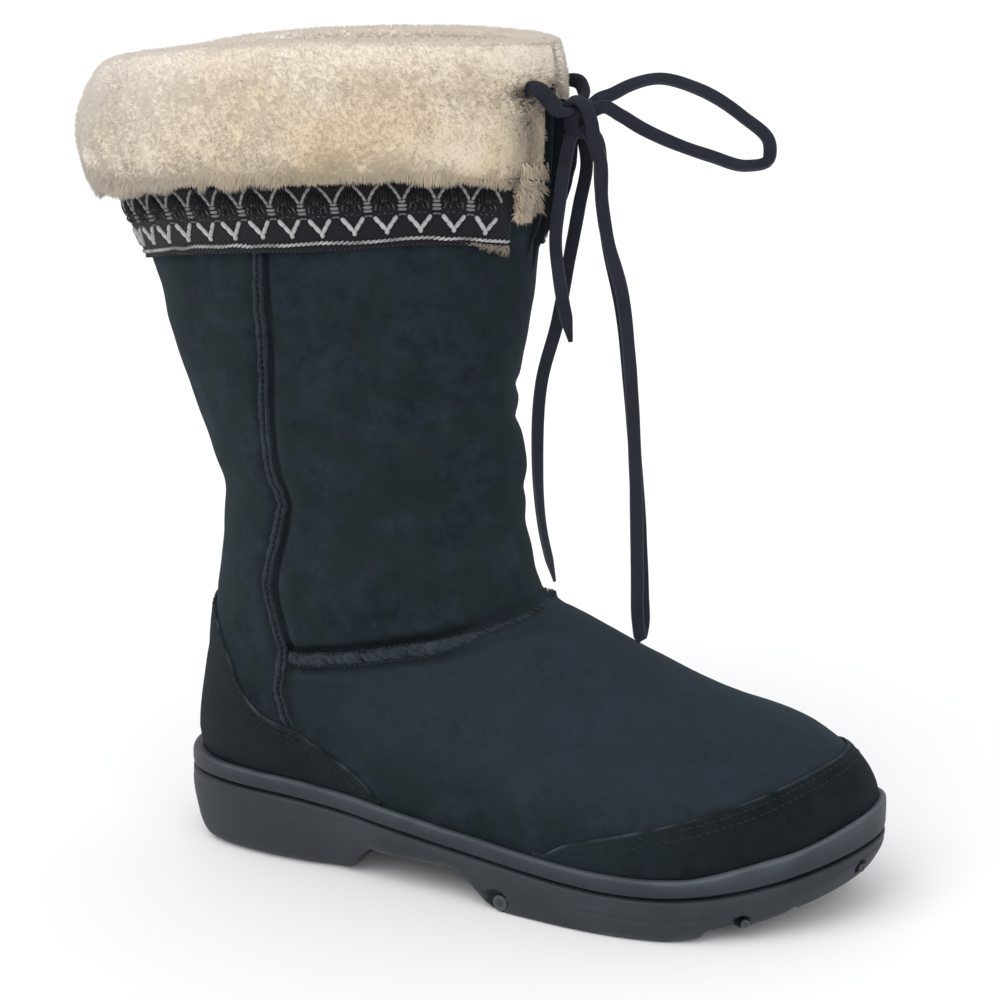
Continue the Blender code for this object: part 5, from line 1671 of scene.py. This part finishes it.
# One repeat of the woven figure: strokes from (across, up) to (across, up), thickness, arch, yarn.
# Across is in repeats and up in band heights; yarn 1 is pale, 0.5 grey, 0 the dark raised yarn.
BRAID_CHART = (
    # lower row: a bold V with a doubled foot
    (0.165, 0.475, 0.32, 0.365, 0.90, 0.30, 1), (0.30, 0.385, 0.47, 0.26, 0.90, 0.30, 1),
    (0.835, 0.475, 0.68, 0.365, 0.84, 0.30, 0.9), (0.70, 0.385, 0.53, 0.26, 0.84, 0.30, 0.9),
    (0.50, 0.29, 0.50, 0.19, 0.90, 0.20, 0.95),
    # grey yarn that joins the tops of the Vs
    (-0.12, 0.485, 0, 0.500, 0.40, 0.10, 0.42), (0, 0.500, 0.12, 0.485, 0.40, 0.10, 0.42),
    # ladder between the ovals
    (-0.13, 0.575, 0.13, 0.575, 0.62, 0.15, 0.50), (-0.13, 0.635, 0.13, 0.635, 0.62, 0.15, 0.58),
    (-0.10, 0.700, 0.10, 0.700, 0.62, 0.20, 0.55),
    # arch over the oval
    (0.04, 0.73, 0.13, 0.82, 0.62, 0.25, 0.62), (0.12, 0.81, 0.24, 0.91, 0.62, 0.25, 0.66),
    (0.23, 0.90, 0.38, 0.985, 0.60, 0.25, 0.60),
    (0.96, 0.73, 0.87, 0.82, 0.62, 0.25, 0.62), (0.88, 0.81, 0.76, 0.91, 0.62, 0.25, 0.66),
    (0.77, 0.90, 0.62, 0.985, 0.60, 0.25, 0.60),
    # satin oval
    (0.24, 0.68, 0.24, 0.79, 0.52, 0.45, 0), (0.33, 0.64, 0.33, 0.86, 0.55, 0.60, 0),
    (0.42, 0.63, 0.42, 0.90, 0.55, 0.70, 0), (0.50, 0.64, 0.50, 0.92, 0.55, 0.75, 0),
    (0.58, 0.63, 0.58, 0.90, 0.55, 0.70, 0), (0.67, 0.64, 0.67, 0.86, 0.55, 0.60, 0),
    (0.76, 0.68, 0.76, 0.79, 0.52, 0.45, 0),
    # grey yarn on and under the oval
    (0.22, 0.58, 0.28, 0.70, 0.42, 0.35, 0.30), (0.78, 0.58, 0.72, 0.70, 0.42, 0.35, 0.30),
    (0.37, 0.57, 0.40, 0.67, 0.40, 0.80, 0.26), (0.63, 0.57, 0.60, 0.67, 0.40, 0.80, 0.26),
    (0.44, 0.69, 0.47, 0.77, 0.24, 1.00, 0.30), (0.57, 0.69, 0.54, 0.77, 0.24, 1.00, 0.30),
    (0.28, 0.515, 0.36, 0.515, 0.24, 0.05, 0.30), (0.46, 0.525, 0.54, 0.525, 0.26, 0.10, 0.34),
    (0.64, 0.515, 0.72, 0.515, 0.24, 0.05, 0.30),
)


class BOOT_OT_braid(bpy.types.Operator):
    """Woven band under the cuff, with its figure worked in yarn"""
    bl_idname = "boot.braid"
    bl_label = "Braid"

    def execute(self, context):
        colours = context.scene.boot_colours
        cloth = finish_material(
            "braid_cloth", WEAVE, {"Dark": colours.braid_dark, "Light": srgb(27, 27, 33)}, (0.8, 0.3),
            vector="UV", numbers={"Threads": 1.1}, sheen=0.1, specular=0.2)
        self.ground(cloth)
        pale = thread_material(
            "braid_yarn", srgb(128, 128, 128), colours.braid_light, (0.7, 0.2), specular=0.3,
            tints=[("dark_yarn", srgb(15, 13, 20), 1)])
        self.figure(context.scene.boot_sizes.braid_repeat / MM, pale)
        frayed = thread_material(
            "frayed_yarn", srgb(84, 76, 70), srgb(164, 152, 138), (0.5, 0.1), specular=0.2)
        self.frayed_end(frayed)
        return {"FINISHED"}

    def frayed_end(self, yarn):
        """Loose threads of the ribbon's cut end, curling down under its outer front corner."""
        random = np.random.default_rng(29)
        count = 130
        length = band_run()[0][-1]
        back = 15 * random.random(count) ** 1.4
        share = np.linspace(0, 1, 5)[None, :]
        along = (length - back)[:, None] + share * random.uniform(-3.5, 2, count)[:, None]
        drop = random.uniform(0.6, 4.2, count) * np.clip(1.15 - back / 15, 0.15, 1)
        phase = random.uniform(0, 6, count)[:, None]
        up = 0.9 - share * drop[:, None] + 0.5 * np.sin(share * 5 + phase)
        out = 1.6 + 1.1 * np.sin(share * pi * 0.9) * random.random(count)[:, None]
        lines = band_point(along, up, out)
        radii = np.broadcast_to(0.19 * np.array([1, 0.95, 0.9, 0.75, 0.5]), along.shape)
        normal = unit(band_point(along, up, out + 1) - lines)
        boot_piece("braid_frayed_end", *tubes(lines, radii, 4, normal)[:2], yarn, "woven_braid")

    def ground(self, cloth):
        """The band itself: a thin closed strip with fine cross ribs."""
        length = band_run()[0][-1]
        along, up = np.meshgrid(
            np.linspace(0, length, 720), np.linspace(-0.2, BAND_WIDTH, 18), indexing="ij")
        selvage = bell(up + 0.2, 0.8) * 0.35 * np.sin(along * 2 * pi / 2)
        ribs = 0.12 * np.sin(along * 2 * pi / 1.6) * np.sin(up * 2 * pi / 2.4)
        far = band_point(along, up, 1.9 + ribs + selvage)
        near = band_point(along[:, ::-17], up[:, ::-17], np.full((720, 2), 0.3))
        points, faces, _ = roll_part(np.concatenate([far, near], 1))
        uv = np.stack([along, up], -1)
        uv = np.concatenate([uv, uv[:, ::-17]], 1)
        boot_piece("braid_cloth", points, faces, cloth, "woven_braid", "braid_band", uv=uv)

    def figure(self, repeat, yarn):
        """The charted strokes of every repeat as arched capsules, and the stitched lower edge line."""
        length = band_run()[0][-1]
        repeats = int(length / repeat)
        starts = (length - repeats * repeat) / 2 + np.arange(repeats) * repeat
        share = np.linspace(0, 1, 6)
        parts = []
        for x0, y0, x1, y1, thick, arch, pale in BRAID_CHART:
            drift = 0.25 * noise(np.stack([starts, 0 * starts + 10 * y0, 0 * starts], -1), 5, 91)
            along = starts[:, None] + drift[:, None] + repeat * (x0 + (x1 - x0) * share)[None]
            up = BAND_WIDTH * (y0 + (y1 - y0) * share)[None] + 0.6 * drift[:, None]
            parts.append((*yarn_strokes(along, up, arch, thick), 1 - pale))
        parts.append(self.edge_line(length))
        points, polygons, dark = join_parts(parts)
        boot_piece("braid_figure", points, polygons, yarn, "woven_braid", values={"dark_yarn": dark})

    def edge_line(self, length):
        """Two pale yarns twisted together along the lower edge, stitch by stitch."""
        pitch = 2
        starts = np.arange(1, length - 1, pitch)
        share = np.linspace(0, 1, 6)
        along = starts[:, None] + (pitch * 1.25) * share[None]
        stray = noise(np.stack([starts, 0 * starts, 0 * starts], -1), 7, 95)
        up = 2.35 + 0.55 * (share - 0.5)[None] * 1.6 + 0.35 * stray[:, None]
        points, polygons = yarn_strokes(along, up, 0.35, 0.5)
        return points, polygons, np.clip(0.25 + 0.3 * noise(points, 4, 96), 0, 0.6)


# ---- shearling cuff
CUFF_PROFILE = (
    # place from the cuff's root (0) to the collar (1), stand-off from the suede, lift
    (0.00, 2.2, 0.6), (0.00, 4.5, -0.9), (0.00, 8.3, -1.7), (0.05, 12, -0.6), (0.20, 14.6, 0.5),
    (0.42, 15.6, 0.4), (0.62, 15.2, 0), (0.82, 13, 0.2), (0.96, 8.8, 2.4), (1.00, 3.2, 7),
    (1.00, -3, 8.4), (1.00, -8, 6.5), (1.00, -9.4, 3.5), (1.00, -8.5, 0.5), (1.00, 0.5, 0.5),
    (0.50, 0.8, 0), (0.00, 2.2, 0.6))
CUFF_CORE = 3.2             # stand-off that the thinning beside the slit leaves alone
CUFF_EDGE_SHARE = 0.28      # share of the rest that is left at the slit
CUFF_THINNING = 0.9         # ring angle over which it grows to the whole
CUFF_ABOVE_BAND = 1.2
CUFF_BARE = (0.015, 0.085)  # ring angle left bare beside the slit, inner and outer side
CUFF_END = 0.12             # ring angle from the middle of the front to the cuff's own ends
CUFF_ENDS = (pi + CUFF_END + CUFF_BARE[0], 3 * pi - CUFF_END - CUFF_BARE[1])
PILE_DEPTH = 1.9            # how far the tips stand out from the cuff's core
FLEECE_SHADE = srgb(48, 43, 41)     # painted shade of the parted fleece beside the slit and round the thong's hole
HOLE = (153.2, 308.4)       # x and z where the thong dives into the outer side of the cuff
ABOVE_HOLE = (298, 309)                 # heights between which the painted shade fades out
REAR = 2 * pi          # ring angle of the back of the boot


def fleece_shade_share(theta):
    """Share of painted shade by ring angle: most a little behind the cuff's outer end."""
    return bell(CUFF_ENDS[1] - theta - 0.13, 0.14)


def hole_distance(points):
    """Distance in the side view to the thong's hole, and which points lie on its side."""
    return np.linalg.norm(points[..., [0, 2]] - HOLE, axis=-1), points[..., 1] < 0


def cuff_surface(theta, place_on, shrink=0):
    """Outer form of the turned-down fleece: place_on runs along the rows of CUFF_PROFILE.

    A point is the upper's surface at the row's level, moved along the flattened normal by the row's
    stand-off, which thins towards the slit, and lifted by the row's lift and the edge's own strays.
    """
    theta, place_on = np.broadcast_arrays(np.asarray(theta, float), np.asarray(place_on, float))
    rows = blend_weights(np.arange(len(CUFF_PROFILE)), place_on.ravel()) @ np.array(CUFF_PROFILE)
    share, stand_off, lift = (rows[:, i].reshape(theta.shape) for i in range(3))
    base_level = band_level(BAND_WIDTH + CUFF_ABOVE_BAND)
    level = np.clip(base_level + (1 - base_level) * share, 0, 1)
    from_slit = np.minimum(theta - pi, 3 * pi - theta) - CUFF_END
    upper_rows = smooth_step(5.8, 7.4, place_on) * fade(12.5, 14.5, place_on)
    turn = theta - REAR
    strays = 0.32 * band_dip(theta) + 1.1 * bell(turn - 2.25, 0.3) - 0.6 * bell(turn - 0.8, 0.4)
    lift = lift + strays * fade(3.2, 6, place_on) * fade(14.5, 15.5, place_on)
    lift = lift + upper_rows * (2 * bell(turn + 0.95, 0.6) - 1.2 * bell(turn + 0.1, 0.4))
    closing = 0.195 * bell(3 * pi - 0.2 - theta, 0.24) - 0.125 * bell(theta - pi - 0.13, 0.24)
    theta = theta + upper_rows * closing
    depth_share = CUFF_EDGE_SHARE + (1 - CUFF_EDGE_SHARE) * smooth_step(0, CUFF_THINNING, from_slit)
    reach = np.minimum(stand_off, CUFF_CORE) + np.maximum(stand_off - CUFF_CORE, 0) * depth_share
    point = upper_surface(theta, level)
    normal = upper_normal(theta, level)
    normal[..., 2] *= 0.25
    normal = unit(normal)
    return point + normal * (reach - shrink)[..., None] + np.stack([0 * lift, 0 * lift, lift], -1)


class BOOT_OT_cuff(bpy.types.Operator):
    """Shearling cuff: a soft core covered with curling locks of wool"""
    bl_idname = "boot.cuff"
    bl_label = "Cuff"

    def execute(self, context):
        colours = context.scene.boot_colours
        sizes = context.scene.boot_sizes
        # painted shade on the fleece beside the slit and round the thong's hole
        fleece_shaded = {"specular": 0.08, "tints": [("fleece_shade", FLEECE_SHADE, 0.9)]}
        core = wool_material("cuff_wool", colours, (0.8, 1), 0.6, 0.52, sheen=0.25, **fleece_shaded)
        pile = wool_material(
            "pile_wool", colours, (0.2, 0.1), "along", "tone", sheen_tint=(1, 0.96, 0.9), **fleece_shaded)
        self.core(core)
        self.pile(sizes.pile_length / MM, sizes.pile_count, pile)
        self.tuft(pile)
        return {"FINISHED"}

    def core(self, mat):
        """Closed roll under the pile, its face broken into small curls."""
        around = np.linspace(0, len(CUFF_PROFILE) - 1, 65)[:-1]
        grid_theta, grid_around = np.meshgrid(np.linspace(*CUFF_ENDS, 320), around, indexing="ij")
        outer = smooth_step(0, 1.5, grid_around) * fade(12.5, 13.5, grid_around)
        form = cuff_surface(grid_theta, grid_around)
        middle = form[:, (around > 1) & (around < 14)].mean(axis=1, keepdims=True)
        inward = unit(middle - form)
        depth = (PILE_DEPTH + 0.25 * noise(form, 6, 101) + 0.22 * noise(form, 2.6, 102)) * outer
        depth += 2 * sum(bell(grid_theta - end, 0.035) for end in CUFF_ENDS) * outer
        to_hole, outer_side = hole_distance(form)
        pit = fade(3.2, 5.4, to_hole) * outer_side * outer
        form = form + inward * (depth + 3 * pit)[..., None]
        # painted shade in the pit round the thong's hole and a little behind the cuff's outer end
        fleece_shade = 0.8 * fleece_shade_share(grid_theta) * fade(*ABOVE_HOLE, form[..., 2]) * outer
        points, faces, fleece_shade = roll_part(form, np.maximum(pit, fleece_shade))
        boot_piece("cuff_fleece", points, faces, mat, "shearling", "fur_cuff", values={"fleece_shade": fleece_shade})

    def facing(self, theta, around, place_at):
        """Outward normal of the cuff's form at ring angles and places round its roll."""
        d_theta = cuff_surface(theta + 0.02, around) - cuff_surface(theta - 0.02, around)
        d_around = cuff_surface(theta, around + 0.08) - cuff_surface(theta, around - 0.08)
        normal = unit(np.cross(d_theta, d_around))
        away = place_at - cuff_surface(theta, np.full_like(around, 6), 9)
        return normal * np.where((normal * away).sum(-1) < 0, -1, 1)[:, None]

    def pile(self, pile_length, count, mat):
        """Short dense locks: spikes rooted in the core that lean together in soft curls.

        The curls grow stronger lower down, locks on the underside hang a little, those at the slit
        lean over its edge, and none stands where the thong goes in.
        """
        random = np.random.default_rng(7)
        theta, around = self.roots(count, random)
        top = cuff_surface(theta, around)
        normal = self.facing(theta, around, top)
        sideways = unit(cuff_surface(theta + 0.02, around) - top)
        jitter = random.normal(0, 0.13, top.shape)
        under = smooth_step(-0.1, 0.75, -normal[:, 2])
        low = fade(280, 306, top[:, 2])
        curl = 0.2 + 0.42 * low * smooth_step(-0.3, 0.2, 0.3 - normal[:, 2])
        wander = 0.75 * noise3(top, 8, 111) + 0.3 * noise3(top, 3, 114)
        lean = curl[:, None] * wander + jitter + np.array([0, 0, -0.12])
        near_first, near_last = (bell(theta - end, 0.045) for end in CUFF_ENDS)
        clumps = np.clip(noise(top, 4.5, 124) + 0.25, 0, 1)
        bridge = 0.8 + 2.6 * clumps * fade(300, 308, top[:, 2])
        lean += sideways * ((near_last - near_first) * bridge)[:, None]
        tassels = np.clip(noise(top, 5.5, 117) + 0.8 * noise(top, 16, 125) + 0.1, 0, 1)
        hang = under * (0.5 + 2.8 * tassels + 0.9 * random.random(count))
        rise = -0.15 + (0.06 + 0.12 * low) * noise(top, 2.8, 118) + 0.09 * random.normal(0, 1, count)
        rise -= (0.7 - 0.5 * clumps) * (near_first + near_last)
        start = top - normal * (pile_length - 0.6)
        tip = top + normal * rise[:, None] + lean * (0.42 * pile_length)
        tip[:, 2] -= hang
        to_hole, outer_side = hole_distance(top)
        parted = outer_side & (to_hole < 3.5 + 1.3 * random.random(count))
        tip = np.where(parted[:, None], start + normal * 0.8, tip)
        lines = np.stack([start, tip], 1)
        base = 0.46 + 0.18 * random.random(count)
        radii = np.stack([base, 0 * base], 1)
        tone = 0.58 + (0.07 + 0.13 * low) * noise(top, 4.2, 119) + random.normal(0, 0.05, count)
        # painted shade: locks that face down and locks lower on the cuff are darker
        tone = np.clip(tone - 0.3 * under - 0.26 * low, 0, 1)
        # painted shade in patches beside the cuff's ends, fading out above the hole, and round the thong's
        # hole
        shade_patches = np.clip(1.5 * noise(top, 4, 120) + 0.1, 0, 1)
        fleece_shade = fleece_shade_share(theta) * (0.6 + 0.7 * shade_patches) + 0.3 * near_last
        fleece_shade = fleece_shade * fade(*ABOVE_HOLE, top[:, 2]) + 0.2 * near_first
        fleece_shade = np.clip(fleece_shade + 0.95 * bell(to_hole, 5.4) * outer_side, 0, 1)
        soft = unit(normal + (0.14 + 0.18 * low)[:, None] * lean)
        for index, part in enumerate(np.array_split(np.argsort(theta, kind="stable"), 4)):
            self.locks(f"cuff_pile_{index + 1}", lines[part], radii[part], tone[part], fleece_shade[part],
                       soft[part], mat)

    def locks(self, name, lines, radii, tone, fleece_shade, soft, mat):
        """One piece of spikes, shaded mostly as the coat they stand in."""
        points, polygons, along = tubes(lines, radii, 3, (0.31, 0.17, 0.93), pointed=True)
        each = len(points) // len(lines)
        values = {"along": 0.7 + 0.3 * along, "tone": np.repeat(tone, each), "fleece_shade": np.repeat(fleece_shade, each)}
        piece = boot_piece(name, points, polygons, mat, "shearling", values=values, outwards=False)
        own = unit(points.reshape(len(lines), each, 3) - lines[:, :1])
        shade = unit((soft[:, None] + 0.08 * own).reshape(-1, 3))
        piece.data.normals_split_custom_set_from_vertices(shade.astype(np.float32))

    def tuft(self, mat):
        """Loose tuft that hangs from the cuff's outer front corner over the end of the braid."""
        random = np.random.default_rng(23)
        count = 2200
        down = random.random(count)
        z = 282.5 - 21 * down
        theta = 3 * pi - 0.292 + 0.095 * np.sqrt(1 - 0.6 * down ** 4) * random.uniform(-1, 1, count)
        level = level_at_height(z, 3 * pi - 0.235, level_of("calf_c"))
        normal = upper_normal(theta, level)
        depth = 2 + 5.5 * (1 - 0.6 * down) * random.random(count)
        start = upper_surface(theta, level) + normal * depth[:, None]
        lean = noise3(start, 3, 121) + random.normal(0, 0.25, start.shape)
        fall = np.array([0, 0, -1]) * (1 + 1.4 * random.random(count))[:, None]
        tip = start + 1.6 * normal + 2.8 * lean + fall
        base = 0.40 + 0.16 * random.random(count)
        tone = np.clip(0.4 + random.normal(0, 0.12, count), 0, 1)
        # painted shade on the tuft, darker towards the slit
        fleece_shade = 0.22 + 0.4 * smooth_step(-0.30, -0.20, theta - 3 * pi) + 0.12 * random.random(count)
        self.locks("cuff_tuft", np.stack([start, tip], 1), np.stack([base, 0 * base], 1), tone, fleece_shade,
                   normal + 0.3 * lean, mat)

    def roots(self, count, random):
        """Ring angles and places of the roots, drawn evenly by the area that each place stands for."""
        theta = random.uniform(*CUFF_ENDS, 3 * count)
        around = random.uniform(0.3, 13.2, 3 * count)
        here = cuff_surface(theta, around)
        wide = np.linalg.norm(cuff_surface(theta + 0.01, around) - here, axis=-1)
        tall = np.linalg.norm(cuff_surface(theta, around + 0.01) - here, axis=-1)
        area = wide * tall
        order = np.argsort(random.random(3 * count) / (area + 1e-9), kind="stable")[:count]
        return theta[order], around[order]


# ---- panel and run
OPERATORS = (BOOT_OT_stage, BOOT_OT_lace, BOOT_OT_sole, BOOT_OT_upper, BOOT_OT_overlays, BOOT_OT_seams,
             BOOT_OT_braid, BOOT_OT_cuff)


class BOOT_PT_panel(bpy.types.Panel):
    """Sizes, colours and steps of the boot"""
    bl_idname = "BOOT_PT_panel"
    bl_label = "Sheepskin boot"
    bl_space_type = "VIEW_3D"
    bl_region_type = "UI"
    bl_category = "Boot"

    def draw(self, context):
        for group in (context.scene.boot_sizes, context.scene.boot_colours):
            for key in group.__annotations__:
                self.layout.prop(group, key)
        for step in OPERATORS:
            self.layout.operator(step.bl_idname)


CLASSES = (BootSizes, BootColours, *OPERATORS, BOOT_PT_panel)


def register():
    """Register the add-on's classes and its settings."""
    for cls in CLASSES:
        bpy.utils.register_class(cls)
    bpy.types.Scene.boot_sizes = bpy.props.PointerProperty(type=BootSizes)
    bpy.types.Scene.boot_colours = bpy.props.PointerProperty(type=BootColours)


def unregister():
    """Take the settings and classes away again."""
    del bpy.types.Scene.boot_colours
    del bpy.types.Scene.boot_sizes
    for cls in reversed(CLASSES):
        bpy.utils.unregister_class(cls)


def main():
    """Register the add-on and run every step in order."""
    register()
    for step in OPERATORS:
        area, name = step.bl_idname.split(".")
        getattr(getattr(bpy.ops, area), name)()


if __name__ == "__main__":
    main()
